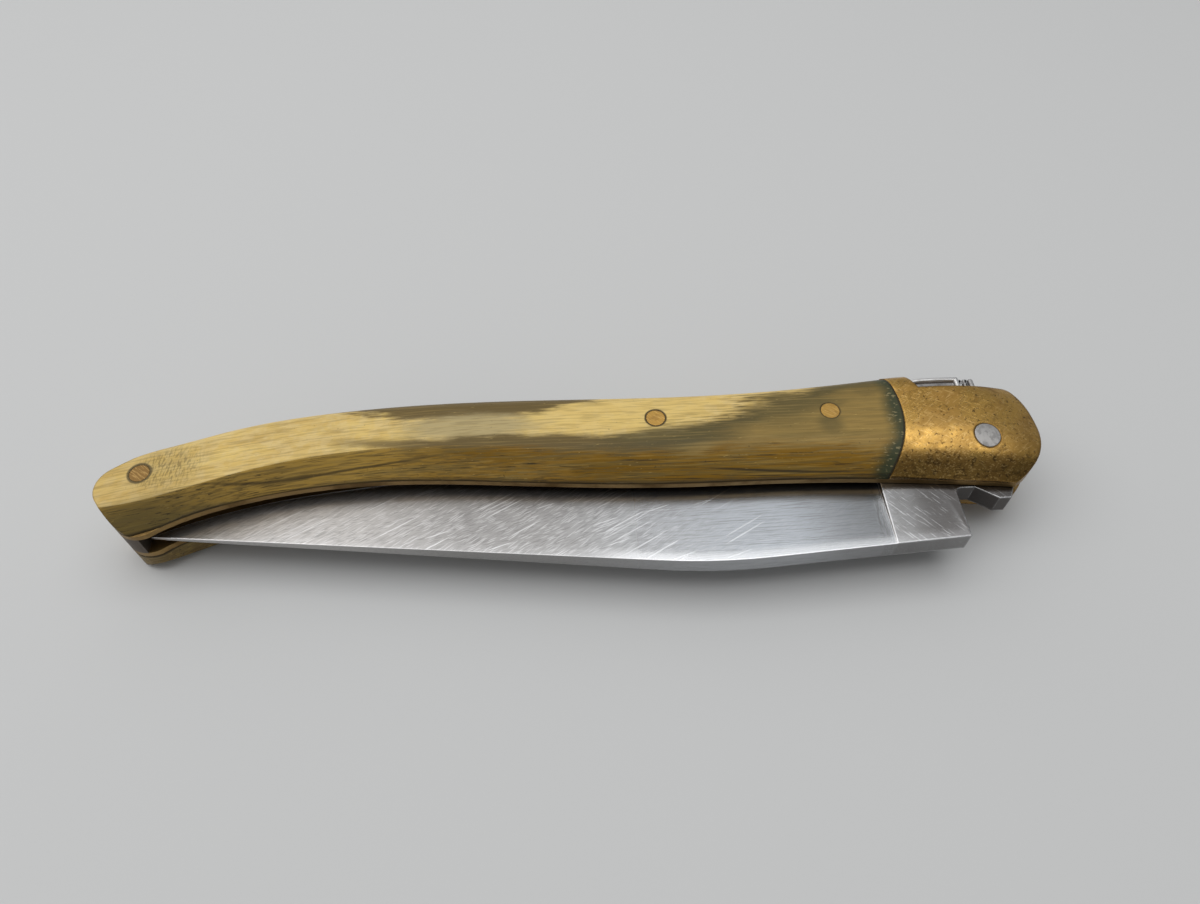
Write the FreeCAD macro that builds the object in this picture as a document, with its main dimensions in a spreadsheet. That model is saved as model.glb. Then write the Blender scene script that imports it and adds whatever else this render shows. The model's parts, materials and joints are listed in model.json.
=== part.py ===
"""A folding pocket knife, closed and lying on its left side.

The blade turns on a pin through two bolsters and is held by a back spring that shows between the liners.
Sketches are drawn from the pivot: X runs to the bolster end, Y to the back of the handle, Z to the right
side. Each piece is then moved so that the middle of the knife's box stands on the floor at the origin.
"""

import FreeCAD
import Part
import Sketcher
import math
import os

doc = FreeCAD.newDocument("FoldingKnife")

SIZES = {
    # Layers of the handle, from the blade outwards, and the fits between them.
    "blade_thick": 3.0,
    "side_gap": 0.1,
    "liner_thick": 0.8,
    "side_thick": 3.85,
    "pivot_fit": 0.05,
    "pin_fit": 0.02,
    # Pins: radii and places.
    "pivot_radius": 1.65,
    "pin_radius": 1.22,
    "front_pin_x": -19.2,
    "front_pin_y": 4.8,
    "middle_pin_x": -41.8,
    "middle_pin_y": 4.9,
    "tail_pin_in": 5.0,
    "tail_pin_y": 0.0,
    "bolster_rivet_radius": 0.8,
    "bolster_rivet_x": -5.4,
    "bolster_rivet_y": 1.2,
    "bolster_rivet_depth": 2.0,
    # Handle outline: five stations, the last two measured from the tail, with poles of its two curves.
    "neck_x": -18.0,
    "neck_back": 9.8,
    "neck_belly": -2.7,
    "grip_x": -38.0,
    "grip_back": 8.8,
    "grip_belly": -3.4,
    "mid_x": -60.0,
    "mid_back": 10.1,
    "mid_belly": -1.5,
    "waist_in": 28.7,
    "waist_back": 9.8,
    "waist_belly": 0.7,
    "heel_in": 10.6,
    "heel_back": 7.1,
    "heel_belly": -3.1,
    # Tail end: a round, a straight slant and a rounded lower corner.
    "tail_reach": 110.7,
    "tail_round": 3.2,
    "tail_centre_y": -1.9,
    "tail_back_angle": 125,
    "tail_slant": 54.0,
    "tail_flat": 2.0,
    "tail_corner": 3.3,
    "tail_belly_angle": -64.0,
    # Bolster end: a round nose, and a shelf cut down for the thumb piece.
    "nose_reach": 7.5,
    "nose_low_radius": 7.4,
    "nose_high_radius": 12.5,
    "nose_centre_y": 1.4,
    "nose_low_angle": -64.0,
    "nose_corner": 1.2,
    "shelf_y": 8.1,
    "ramp_foot_x": -6.8,
    "ramp_top_x": -8.2,
    "ramp_top_y": 11.1,
    # Curved joint between scale and bolster.
    "joint_x": -9.85,
    "joint_y": 5.0,
    "joint_radius": 15.0,
    # Crowned outer form of the scales and bolsters; the left scale keeps a fuller belly edge.
    "crest_cut": 0.08,
    "bolster_set": 0.04,
    "edge_rise": 0.7,
    "edge_spread": 1.5,
    "tail_inset": 1.8,
    "heel_inset": 1.2,
    "waist_inset": 2.1,
    "loin_inset": 2.4,
    "front_inset": 2.6,
    "left_inset": 1.1,
    "left_fall": 1.3,
    "back_inset": 1.2,
    "back_fall": 1.5,
    "nose_inset": 2.2,
    "tail_soft": 0.12,
    "loin_soft": 0.26,
    "mid_soft": 0.4,
    "front_soft": 0.75,
    "edge_soft": 0.6,
    "back_soft": 0.3,
    "tail_fullness": 2.6,
    "brow_x": 4.0,
    "brow_back": 10.8,
    "brow_drop": 0.5,
    "nose_drop": 2.2,
    # Back spring, measured in from the back of the handle at each station.
    "heel_depth": 6.2,
    "waist_depth": 5.6,
    "mid_depth": 6.0,
    "grip_depth": 4.4,
    "neck_depth": 4.0,
    "tip_gap": 0.7,
    "well_tail_y": -4.6,
    "spring_boss_radius": 2.3,
    "hook_gap": 0.25,
    "step_gap": 0.4,
    "nib_gap": 0.15,
    # Tang of the blade around the pivot, as it lies when closed.
    "tang_flat": 4.9,
    "tang_flat_back_x": -3.4,
    "tang_round": 6.0,
    "hook_root_x": -1.6,
    "hook_low_x": 1.1,
    "hook_tip_x": 2.6,
    "hook_reach": 6.7,
    "step_x": -4.1,
    "step_relief": 0.7,
    "step_y": -11.9,
    # Blade: spine from the step over the swell to the tip, and the hidden edge.
    "swell_reach": 13.5,
    "swell_radius": 76.0,
    "swell_x": -33.5,
    "tip_in": 5.2,
    "tip_y": -5.6,
    "plunge_x": -13.5,
    "edge_heel_y": 0.4,
    "edge_grip_y": 2.2,
    "edge_mid_y": 1.9,
    "edge_waist_y": 0.6,
    "edge_point_run": 8.5,
    "edge_point_y": -1.9,
    "grind_shy": 0.12,
    "grind_edge": 0.52,
    "grind_tip": 0.22,
    # Thumb piece on the end of the spring.
    "fly_setback": 0.3,
    "fly_peak_x": -4.0,
    "fly_neck_x": 1.0,
    "fly_top": 13.1,
    "fly_head_top": 12.1,
    "fly_crown": 14.0,
    "fly_groove": 0.25,
    "fly_half_wide": 2.6,
    "fly_half_neck": 1.9,
    "fly_half_head": 2.3,
    "fly_half_tail": 1.1,
}

sheet = doc.addObject("Spreadsheet::Sheet", "Sizes")
for row, (alias, amount) in enumerate(SIZES.items(), start=1):
    sheet.set("A%d" % row, alias)
    sheet.set("B%d" % row, str(amount))
    sheet.setAlias("B%d" % row, alias)
doc.recompute()

# Levels measured from the middle of the blade, and where the pivot stands in the finished knife.
HALF_CHANNEL = "(Sizes.blade_thick / 2 + Sizes.side_gap)"
LINER_OUT = "(%s + Sizes.liner_thick)" % HALF_CHANNEL
HALF_THICK = "(%s + Sizes.side_thick)" % LINER_OUT
PIVOT_X = "((Sizes.tail_reach - Sizes.nose_reach) / 2)"
PIVOT_Y = "((Sizes.swell_reach - Sizes.fly_top) / 2)"


def number(expression):
    """The value of an expression in millimetres or degrees."""
    amount = sheet.evalExpression(expression)
    return float(getattr(amount, "Value", amount))


def flat(x, y):
    return FreeCAD.Vector(number(x), number(y), 0)


def place(piece):
    """Moves a piece drawn from the pivot to its place in the knife."""
    piece.setExpression("Placement.Base.x", PIVOT_X)
    piece.setExpression("Placement.Base.y", PIVOT_Y)
    piece.setExpression("Placement.Base.z", HALF_THICK)


def new_body(label):
    body = doc.addObject("PartDesign::Body", label)
    body.Label = label
    place(body)
    return body


def origin_plane(body, role):
    return next(item for item in body.Origin.OriginFeatures if item.Role == role)


def new_sketch(body, name, role="XY_Plane", offset="0"):
    sketch = body.newObject("Sketcher::SketchObject", name)
    sketch.AttachmentSupport = [(origin_plane(body, role), "")]
    sketch.MapMode = "FlatFace"
    sketch.setExpression("AttachmentOffset.Base.z", offset)
    return sketch


def bind(sketch, constraint, expression):
    index = sketch.addConstraint(constraint)
    sketch.setExpression("Constraints[%d]" % index, expression)


def hold(sketch, geometry, position, x, y):
    """Holds one point of a sketch at the expressions x and y."""
    bind(sketch, Sketcher.Constraint("DistanceX", -1, 1, geometry, position, number(x)), x)
    bind(sketch, Sketcher.Constraint("DistanceY", -1, 1, geometry, position, number(y)), y)


def line(x, y):
    """A step of an outline: from the point (x, y) straight to the next point."""
    return {"at": (x, y), "kind": "line"}


def arc(x, y, radius, turn):
    """A step of an outline: an arc to the next point that turns left or right."""
    return {"at": (x, y), "kind": "arc", "radius": radius, "turn": turn}


def curve(x, y, poles):
    """A step of an outline: a smooth curve to the next point, drawn by the poles between."""
    return {"at": (x, y), "kind": "curve", "poles": poles}


def arc_geometry(start, end, radius, turn):
    chord = end - start
    side = FreeCAD.Vector(-chord.y, chord.x, 0).normalize()
    if turn == "right":
        side = side * -1
    rise = math.sqrt(radius ** 2 - (chord.Length / 2) ** 2)
    centre = start + chord / 2 + side * rise
    first, last = (start, end) if turn == "left" else (end, start)
    angles = [math.atan2(point.y - centre.y, point.x - centre.x) for point in (first, last)]
    circle = Part.Circle(centre, FreeCAD.Vector(0, 0, 1), radius)
    return Part.ArcOfCircle(circle, angles[0], angles[1])


def draw(sketch, steps):
    """Draws a closed outline whose points, radii and poles follow the sheet."""
    ends = []
    for order, step in enumerate(steps):
        start = flat(*step["at"])
        end = flat(*steps[(order + 1) % len(steps)]["at"])
        positions = (1, 2)
        if step["kind"] == "line":
            index = sketch.addGeometry(Part.LineSegment(start, end), False)
        elif step["kind"] == "arc":
            shape = arc_geometry(start, end, number(step["radius"]), step["turn"])
            index = sketch.addGeometry(shape, False)
            bind(sketch, Sketcher.Constraint("Radius", index, number(step["radius"])), step["radius"])
            if step["turn"] == "right":
                positions = (2, 1)
        else:
            poles = [start] + [flat(*pole) for pole in step["poles"]] + [end]
            shape = Part.BSplineCurve()
            shape.buildFromPoles(poles, False, 3)
            index = sketch.addGeometry(shape, False)
            for count, pole in enumerate(step["poles"], start=1):
                mark = Part.Circle(flat(*pole), FreeCAD.Vector(0, 0, 1), 1)
                circle = sketch.addGeometry(mark, True)
                sketch.addConstraint(Sketcher.Constraint("Weight", circle, 1.0))
                pole_tie = "InternalAlignment:Sketcher::BSplineControlPoint"
                sketch.addConstraint(Sketcher.Constraint(pole_tie, circle, 3, index, count))
                hold(sketch, circle, 3, *pole)
        hold(sketch, index, positions[0], *step["at"])
        ends.append((index, positions))
    for before, after in zip(ends[-1:] + ends[:-1], ends):
        sketch.addConstraint(
            Sketcher.Constraint("Coincident", before[0], before[1][1], after[0], after[1][0])
        )


def draw_circle(sketch, x, y, radius):
    circle = Part.Circle(flat(x, y), FreeCAD.Vector(0, 0, 1), number(radius))
    index = sketch.addGeometry(circle, False)
    bind(sketch, Sketcher.Constraint("Radius", index, number(radius)), radius)
    hold(sketch, index, 3, x, y)


def pad(body, sketch, length, name):
    feature = body.newObject("PartDesign::Pad", name)
    feature.Profile = sketch
    feature.setExpression("Length", length)
    sketch.Visibility = False
    return feature


def pocket(body, sketch, length, name):
    """Cuts along the sketch's own normal, from the sketch upwards."""
    feature = body.newObject("PartDesign::Pocket", name)
    feature.Profile = sketch
    feature.Reversed = True
    feature.setExpression("Length", length)
    sketch.Visibility = False
    return feature


def boolean(kind, label, base, tool):
    feature = doc.addObject("Part::" + kind, label)
    feature.Label = label
    feature.Base = base
    feature.Tool = tool
    return feature


def mirrored(label, source):
    """The same piece on the left side of the knife."""
    feature = doc.addObject("Part::Mirroring", label)
    feature.Label = label
    feature.Source = source
    feature.Normal = FreeCAD.Vector(0, 0, 1)
    feature.setExpression("Base.z", HALF_THICK)
    return feature


def cylinder(label, x, y, radius, low, high):
    """A round bar square to the knife, between two levels from the middle of the blade."""
    feature = doc.addObject("Part::Cylinder", label)
    feature.Label = label
    feature.setExpression("Radius", radius)
    feature.setExpression("Height", "%s - %s" % (high, low))
    feature.setExpression("Placement.Base.x", "%s + %s" % (PIVOT_X, x))
    feature.setExpression("Placement.Base.y", "%s + %s" % (PIVOT_Y, y))
    feature.setExpression("Placement.Base.z", "%s + %s" % (HALF_THICK, low))
    return feature


def fuse(label, shapes):
    feature = doc.addObject("Part::MultiFuse", label)
    feature.Shapes = shapes
    return feature


# Handle outline. The tail's round, slant and corner follow each other without a kink.
TAIL_CENTRE_X = "(Sizes.tail_round - Sizes.tail_reach)"
SLANT = "Sizes.tail_slant * 1 deg"
TAIL_BACK = (
    "%s + Sizes.tail_round * cos(Sizes.tail_back_angle * 1 deg)" % TAIL_CENTRE_X,
    "Sizes.tail_centre_y + Sizes.tail_round * sin(Sizes.tail_back_angle * 1 deg)",
)
SLANT_TOP = (
    "(%s - Sizes.tail_round * sin(%s))" % (TAIL_CENTRE_X, SLANT),
    "(Sizes.tail_centre_y - Sizes.tail_round * cos(%s))" % SLANT,
)
SLANT_FOOT = (
    "(%s + Sizes.tail_flat * cos(%s))" % (SLANT_TOP[0], SLANT),
    "(%s - Sizes.tail_flat * sin(%s))" % (SLANT_TOP[1], SLANT),
)
TAIL_BELLY = (
    "%s + Sizes.tail_corner * (sin(%s) + cos(Sizes.tail_belly_angle * 1 deg))" % (SLANT_FOOT[0], SLANT),
    "%s + Sizes.tail_corner * (cos(%s) + sin(Sizes.tail_belly_angle * 1 deg))" % (SLANT_FOOT[1], SLANT),
)
NOSE_LOW = (
    "Sizes.nose_reach - Sizes.nose_low_radius * (1 - cos(Sizes.nose_low_angle * 1 deg))",
    "Sizes.nose_centre_y + Sizes.nose_low_radius * sin(Sizes.nose_low_angle * 1 deg)",
)
# The nose's upper corner lies inside the high round and just under the shelf.
CORNER_Y = "(Sizes.shelf_y - Sizes.nose_corner - Sizes.nose_centre_y)"
CORNER_REACH = "(Sizes.nose_high_radius - Sizes.nose_corner)"
CORNER_X = "(Sizes.nose_reach - Sizes.nose_high_radius + sqrt(%s ^ 2 - %s ^ 2))" % (CORNER_REACH, CORNER_Y)
NOSE_HIGH = (
    "%s + Sizes.nose_corner * (%s - Sizes.nose_reach + Sizes.nose_high_radius) / %s"
    % (CORNER_X, CORNER_X, CORNER_REACH),
    "Sizes.shelf_y - Sizes.nose_corner + Sizes.nose_corner * %s / %s" % (CORNER_Y, CORNER_REACH),
)
STATIONS = {
    "neck": "Sizes.neck_x",
    "grip": "Sizes.grip_x",
    "mid": "Sizes.mid_x",
    "waist": "(Sizes.waist_in - Sizes.tail_reach)",
    "heel": "(Sizes.heel_in - Sizes.tail_reach)",
}
BACK_POLES = [(x, "Sizes.%s_back" % name) for name, x in STATIONS.items()]
BELLY_POLES = [(x, "Sizes.%s_belly" % name) for name, x in reversed(STATIONS.items())]
OUTLINE = [
    line("Sizes.ramp_foot_x", "Sizes.shelf_y"),
    curve("Sizes.ramp_top_x", "Sizes.ramp_top_y", BACK_POLES),
    arc(TAIL_BACK[0], TAIL_BACK[1], "Sizes.tail_round", "left"),
    line(SLANT_TOP[0], SLANT_TOP[1]),
    arc(SLANT_FOOT[0], SLANT_FOOT[1], "Sizes.tail_corner", "left"),
    curve(TAIL_BELLY[0], TAIL_BELLY[1], BELLY_POLES),
    arc(NOSE_LOW[0], NOSE_LOW[1], "Sizes.nose_low_radius", "left"),
    arc("Sizes.nose_reach", "Sizes.nose_centre_y", "Sizes.nose_high_radius", "left"),
    arc(NOSE_HIGH[0], NOSE_HIGH[1], "Sizes.nose_corner", "left"),
    line(CORNER_X, "Sizes.shelf_y"),
]

# Places and radii of the holes that the pins pass through.
PIVOT_HOLE = ("0", "0", "Sizes.pivot_radius + Sizes.pin_fit")
FRONT_HOLE = ("Sizes.front_pin_x", "Sizes.front_pin_y", "Sizes.pin_radius + Sizes.pin_fit")
MIDDLE_HOLE = ("Sizes.middle_pin_x", "Sizes.middle_pin_y", "Sizes.pin_radius + Sizes.pin_fit")
TAIL_PIN_X = "(Sizes.tail_pin_in - Sizes.tail_reach)"
TAIL_HOLE = (TAIL_PIN_X, "Sizes.tail_pin_y", "Sizes.pin_radius + Sizes.pin_fit")
RIVET_HOLE = (
    "Sizes.bolster_rivet_x",
    "Sizes.bolster_rivet_y",
    "Sizes.bolster_rivet_radius + Sizes.pin_fit",
)
RIVET_TOP = "(%s + Sizes.bolster_rivet_depth)" % LINER_OUT

# Liners: thin brass plates with the whole outline of the handle, drilled for every pin.
right_liner = new_body("right_liner")
liner_sketch = new_sketch(right_liner, "LinerOutline", offset=HALF_CHANNEL)
draw(liner_sketch, OUTLINE)
pad(right_liner, liner_sketch, "Sizes.liner_thick", "LinerPlate")
liner_holes = new_sketch(right_liner, "LinerHoles", offset=HALF_CHANNEL)
for spot in (PIVOT_HOLE, FRONT_HOLE, MIDDLE_HOLE, TAIL_HOLE, RIVET_HOLE):
    draw_circle(liner_holes, *spot)
pocket(right_liner, liner_holes, "Sizes.liner_thick", "LinerDrilling")
left_liner = mirrored("left_liner", right_liner)

# Crowned side forms: lofted sections across the handle, with a land at the crest and a shoulder each side.
CREST = "(%s + Sizes.crest_cut)" % HALF_THICK
BOLSTER_CREST = "(%s - Sizes.bolster_set)" % HALF_THICK
FORM_BASE = "(-%s - Sizes.edge_spread)" % HALF_THICK
FULL_FALL = "(Sizes.side_thick - Sizes.edge_rise)"
BACK_CURVE = [("Sizes.ramp_top_x", "Sizes.ramp_top_y")] + BACK_POLES + [TAIL_BACK]
BELLY_CURVE = [NOSE_LOW] + BELLY_POLES[::-1] + [TAIL_BELLY]
# Shares of the seven poles in the curve's points at a sixteenth to a half of its run.
SIXTEENTH = ("27 / 64", "127 / 256", "61 / 768", "1 / 384", "0", "0", "0")
EIGHTH = ("1 / 8", "19 / 32", "25 / 96", "1 / 48", "0", "0", "0")
QUARTER = ("0", "1 / 4", "7 / 12", "1 / 6", "0", "0", "0")
THREE_EIGHTHS = ("0", "1 / 32", "15 / 32", "23 / 48", "1 / 48", "0", "0")
HALF_RUN = ("0", "0", "1 / 6", "2 / 3", "1 / 6", "0", "0")


def along(poles, shares, axis):
    """A coordinate of the point of a curve that takes these shares of its poles."""
    return "(%s)" % " + ".join("%s * (%s)" % (share, pole[axis]) for share, pole in zip(shares, poles))


def on_curve(shares):
    """The back and the belly of the handle at one station."""
    return along(BACK_CURVE, shares, 1), along(BELLY_CURVE, shares, 1)


def between(start, end, share):
    return tuple("(%s + (%s - %s) * (%s))" % (a, b, a, share) for a, b in zip(start, end))


def shoulder(edge, crest, middle, inward, facet):
    """One side of a section: a slope, from outside the outline, that rounds into the land at the crest."""
    inset, fall, soft, land = facet
    ridge = ("(%s %s %s)" % (edge, inward, inset), crest)
    rim = (edge, "(%s - %s)" % (crest, fall))
    outer = between(ridge, rim, "1 + Sizes.edge_spread / %s" % inset)
    round_low = between(ridge, rim, soft)
    round_high = between(ridge, (middle, crest), land)
    low_pole = between(round_low, ridge, "2 / 3")
    high_pole = between(round_high, ridge, "2 / 3")
    return outer, round_low, low_pole, high_pole, round_high


def crown(body, name, x, edges, crest, belly_facet, back_facet):
    """A section across one side of the handle, closed well below the other side."""
    back, belly = edges
    middle = "((%s + %s) / 2)" % (back, belly)
    outer, low, low_pole, high_pole, land = shoulder(belly, crest, middle, "+", belly_facet)
    back_outer, back_low, back_low_pole, back_high_pole, back_land = shoulder(
        back, crest, middle, "-", back_facet)
    section = new_sketch(body, name, "YZ_Plane", x)
    draw(section, [
        line(outer[0], FORM_BASE),
        line(*outer),
        curve(*low, [low_pole, high_pole]),
        line(*land),
        curve(*back_land, [back_high_pole, back_low_pole]),
        line(*back_low),
        line(*back_outer),
        line(back_outer[0], FORM_BASE),
    ])
    section.Visibility = False
    return section


def crowned_form(label, stations):
    """The rounded bar that a piece of the handle's side is cut from."""
    body = new_body(label)
    sections = [crown(body, label + station[0], *station[1:]) for station in stations]
    loft = body.newObject("PartDesign::AdditiveLoft", label + "Loft")
    loft.Profile = sections[0]
    loft.Sections = sections[1:]
    return body


CRISP_BACK = ("Sizes.back_inset", "Sizes.back_fall", "Sizes.edge_soft", "Sizes.back_soft")
ROUND_BELLY = ("Sizes.front_inset", FULL_FALL, "Sizes.edge_soft", "Sizes.front_soft")
ROUND_BACK = ("Sizes.nose_inset", FULL_FALL, "Sizes.edge_soft", "Sizes.front_soft")
TAIL_EDGES = (
    "(Sizes.tail_centre_y + Sizes.tail_round + Sizes.tail_fullness)",
    "(%s)" % TAIL_BELLY[1],
)
COLLAR_EDGES = ("Sizes.ramp_top_y", "((%s + Sizes.neck_belly) / 2)" % NOSE_LOW[1])
NOSE_EDGES = ("Sizes.brow_back", "(%s)" % NOSE_LOW[1])


def scale_stations(tail_facet, heel_facet):
    """Sections of a scale from its tail end to under the bolster."""
    waist_facet = ("Sizes.waist_inset", FULL_FALL, "Sizes.tail_soft", "Sizes.tail_soft")
    loin_facet = ("Sizes.loin_inset", FULL_FALL, "Sizes.loin_soft", "Sizes.loin_soft")
    mid_facet = ("Sizes.front_inset", FULL_FALL, "Sizes.mid_soft", "Sizes.mid_soft")
    stations = [
        ("TailEnd", "-Sizes.tail_reach - Sizes.edge_spread", TAIL_EDGES, tail_facet),
        ("Tail", TAIL_CENTRE_X, TAIL_EDGES, tail_facet),
    ]
    for name, shares, facet in (
        ("Heel", EIGHTH[::-1], heel_facet),
        ("Waist", QUARTER[::-1], waist_facet),
        ("Loin", THREE_EIGHTHS[::-1], loin_facet),
        ("Mid", HALF_RUN, mid_facet),
        ("Grip", QUARTER, ROUND_BELLY),
        ("Neck", EIGHTH, ROUND_BELLY),
        ("Throat", SIXTEENTH, ROUND_BELLY),
    ):
        stations.append((name, along(BACK_CURVE, shares, 0), on_curve(shares), facet))
    stations.append(("Collar", "Sizes.ramp_foot_x", COLLAR_EDGES, ROUND_BELLY))
    return [(name, x, edges, CREST, facet, CRISP_BACK) for name, x, edges, facet in stations]


right_tail = ("Sizes.tail_inset", FULL_FALL, "Sizes.tail_soft", "Sizes.tail_soft")
right_heel = ("Sizes.heel_inset", FULL_FALL, "Sizes.tail_soft", "Sizes.tail_soft")
left_tail = ("Sizes.left_inset", "Sizes.left_fall", "Sizes.edge_soft", "Sizes.tail_soft")
right_form = crowned_form("right_form", scale_stations(right_tail, right_heel))
left_form = crowned_form("left_form", scale_stations(left_tail, left_tail))
bolster_form = crowned_form("bolster_form", [
    ("Neck", along(BACK_CURVE, EIGHTH, 0), on_curve(EIGHTH), BOLSTER_CREST, ROUND_BELLY, CRISP_BACK),
    ("Throat", along(BACK_CURVE, SIXTEENTH, 0), on_curve(SIXTEENTH), BOLSTER_CREST, ROUND_BELLY, CRISP_BACK),
    ("Crest", "Sizes.ramp_foot_x", COLLAR_EDGES, BOLSTER_CREST, ROUND_BELLY, CRISP_BACK),
    ("Brow", "Sizes.brow_x", NOSE_EDGES, "(%s - Sizes.brow_drop)" % BOLSTER_CREST, ROUND_BELLY, ROUND_BACK),
    ("Nose", "Sizes.nose_reach + Sizes.edge_spread", NOSE_EDGES,
     "(%s - Sizes.nose_drop)" % BOLSTER_CREST, ROUND_BELLY, ROUND_BACK),
])

# The forms are cut to the handle's outline and to a flat land at the scales' crest, and part at the joint.
side_plate = new_body("side_plate")
plate_sketch = new_sketch(side_plate, "SideOutline", offset=LINER_OUT)
draw(plate_sketch, OUTLINE)
pad(side_plate, plate_sketch, "Sizes.side_thick", "SidePad")

JOINT_END_X = "Sizes.joint_x - Sizes.joint_radius / 2"
JOINT_TOP = "Sizes.joint_y + Sizes.joint_radius * sin(60 deg)"
JOINT_FOOT = "Sizes.joint_y - Sizes.joint_radius * sin(60 deg)"
ZONE_END = "-Sizes.tail_reach - Sizes.side_thick"
ZONE_FOOT = "-Sizes.swell_reach"
scale_zone = new_body("scale_zone")
zone_sketch = new_sketch(scale_zone, "ScaleZone", offset=HALF_CHANNEL)
draw(zone_sketch, [
    arc(JOINT_END_X, JOINT_FOOT, "Sizes.joint_radius", "left"),
    line(JOINT_END_X, JOINT_TOP),
    line(ZONE_END, JOINT_TOP),
    line(ZONE_END, ZONE_FOOT),
    line(JOINT_END_X, ZONE_FOOT),
])
pad(scale_zone, zone_sketch, "Sizes.liner_thick + Sizes.side_thick * 2", "ZonePad")
scale_plate = boolean("Common", "scale_plate", side_plate, scale_zone)
bolster_plate = boolean("Cut", "bolster_plate", side_plate, scale_zone)

# Scales: crowned horn plates with a round front end, drilled for their three pins.
scale_drills = fuse("ScaleDrills", [
    cylinder("ScaleDrillFront", *FRONT_HOLE, LINER_OUT, CREST),
    cylinder("ScaleDrillMiddle", *MIDDLE_HOLE, LINER_OUT, CREST),
    cylinder("ScaleDrillTail", *TAIL_HOLE, LINER_OUT, CREST),
])
drilled_plate = boolean("Cut", "drilled_plate", scale_plate, scale_drills)
right_scale = boolean("Common", "right_scale", right_form, drilled_plate)
left_scale = mirrored("left_scale", boolean("Common", "left_scale_blank", left_form, drilled_plate))

# Bolsters: brass ends in line with the scales, drilled through for the pivot and part way for a rivet.
bolster_drills = fuse("BolsterDrills", [
    cylinder("BolsterDrillPivot", *PIVOT_HOLE, LINER_OUT, CREST),
    cylinder("BolsterDrillRivet", *RIVET_HOLE, LINER_OUT, RIVET_TOP),
])
drilled_end = boolean("Cut", "drilled_end", bolster_plate, bolster_drills)
right_bolster = boolean("Common", "right_bolster", bolster_form, drilled_end)
left_bolster = mirrored("left_bolster", right_bolster)

# Back spring: fills the channel along the back and round the tail, and ends in a nib above the tang.
NIB_FOOT = "Sizes.tang_flat + Sizes.nib_gap"
NIB_FRONT = "(-Sizes.step_x - Sizes.step_gap)"
SPRING_NECK = "Sizes.hook_reach + Sizes.hook_gap"
TIP_X = "(Sizes.tip_in - Sizes.tail_reach)"
WELL_TAIL = "(%s - Sizes.tip_gap)" % TIP_X
WELL_POLES = [(x, "Sizes.%s_back - Sizes.%s_depth" % (name, name)) for name, x in STATIONS.items()]
WELL_FRONT = "Sizes.nose_reach + Sizes.nose_corner"
back_spring = new_body("back_spring")
spring_sketch = new_sketch(back_spring, "SpringOutline", offset="-" + HALF_CHANNEL)
draw(spring_sketch, OUTLINE)
pad(back_spring, spring_sketch, "2 * " + HALF_CHANNEL, "SpringPlate")
well_sketch = new_sketch(back_spring, "SpringWell", offset="-" + HALF_CHANNEL)
draw(well_sketch, [
    line(WELL_TAIL, ZONE_FOOT),
    line(WELL_FRONT, ZONE_FOOT),
    line(WELL_FRONT, "Sizes.fly_top"),
    line(NIB_FRONT, "Sizes.fly_top"),
    line(NIB_FRONT, NIB_FOOT),
    line("-Sizes.hook_root_x - Sizes.nib_gap", NIB_FOOT),
    line("-Sizes.hook_low_x - Sizes.nib_gap", SPRING_NECK),
    curve("Sizes.ramp_foot_x", SPRING_NECK, WELL_POLES),
    line(WELL_TAIL, "Sizes.well_tail_y"),
])
pocket(back_spring, well_sketch, "2 * " + HALF_CHANNEL, "SpringWellCut")
boss_sketch = new_sketch(back_spring, "SpringBoss", offset="-" + HALF_CHANNEL)
draw_circle(boss_sketch, "Sizes.middle_pin_x", "Sizes.middle_pin_y", "Sizes.spring_boss_radius")
pad(back_spring, boss_sketch, "2 * " + HALF_CHANNEL, "SpringBossPad")
spring_holes = new_sketch(back_spring, "SpringHoles", offset="-" + HALF_CHANNEL)
for spot in (MIDDLE_HOLE, TAIL_HOLE):
    draw_circle(spring_holes, *spot)
pocket(back_spring, spring_holes, "2 * " + HALF_CHANNEL, "SpringDrilling")

# Blade with its tang: a step and a hook either side of the notch that the nib drops into when open.
HALF_BLADE = "(Sizes.blade_thick / 2)"
SWELL_CENTRE_Y = "(Sizes.swell_radius - Sizes.swell_reach)"
TIP_DX = "(%s - Sizes.swell_x)" % TIP_X
TIP_DY = "(Sizes.tip_y - %s)" % SWELL_CENTRE_Y
STEP_DX = "(Sizes.step_x - Sizes.swell_x)"
STEP_DY = "(Sizes.step_y - %s)" % SWELL_CENTRE_Y


def tangent_point(dx, dy, sign):
    """Where a line from an outer point, given from the swell's centre, touches the swell."""
    far = "(%s ^ 2 + %s ^ 2)" % (dx, dy)
    reach = "(Sizes.swell_radius ^ 2 / %s)" % far
    side = "(%s Sizes.swell_radius * sqrt(%s - Sizes.swell_radius ^ 2) / %s)" % (sign, far, far)
    return (
        "Sizes.swell_x + %s * %s - %s * %s" % (dx, reach, dy, side),
        "%s + %s * %s + %s * %s" % (SWELL_CENTRE_Y, dy, reach, dx, side),
    )


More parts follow.
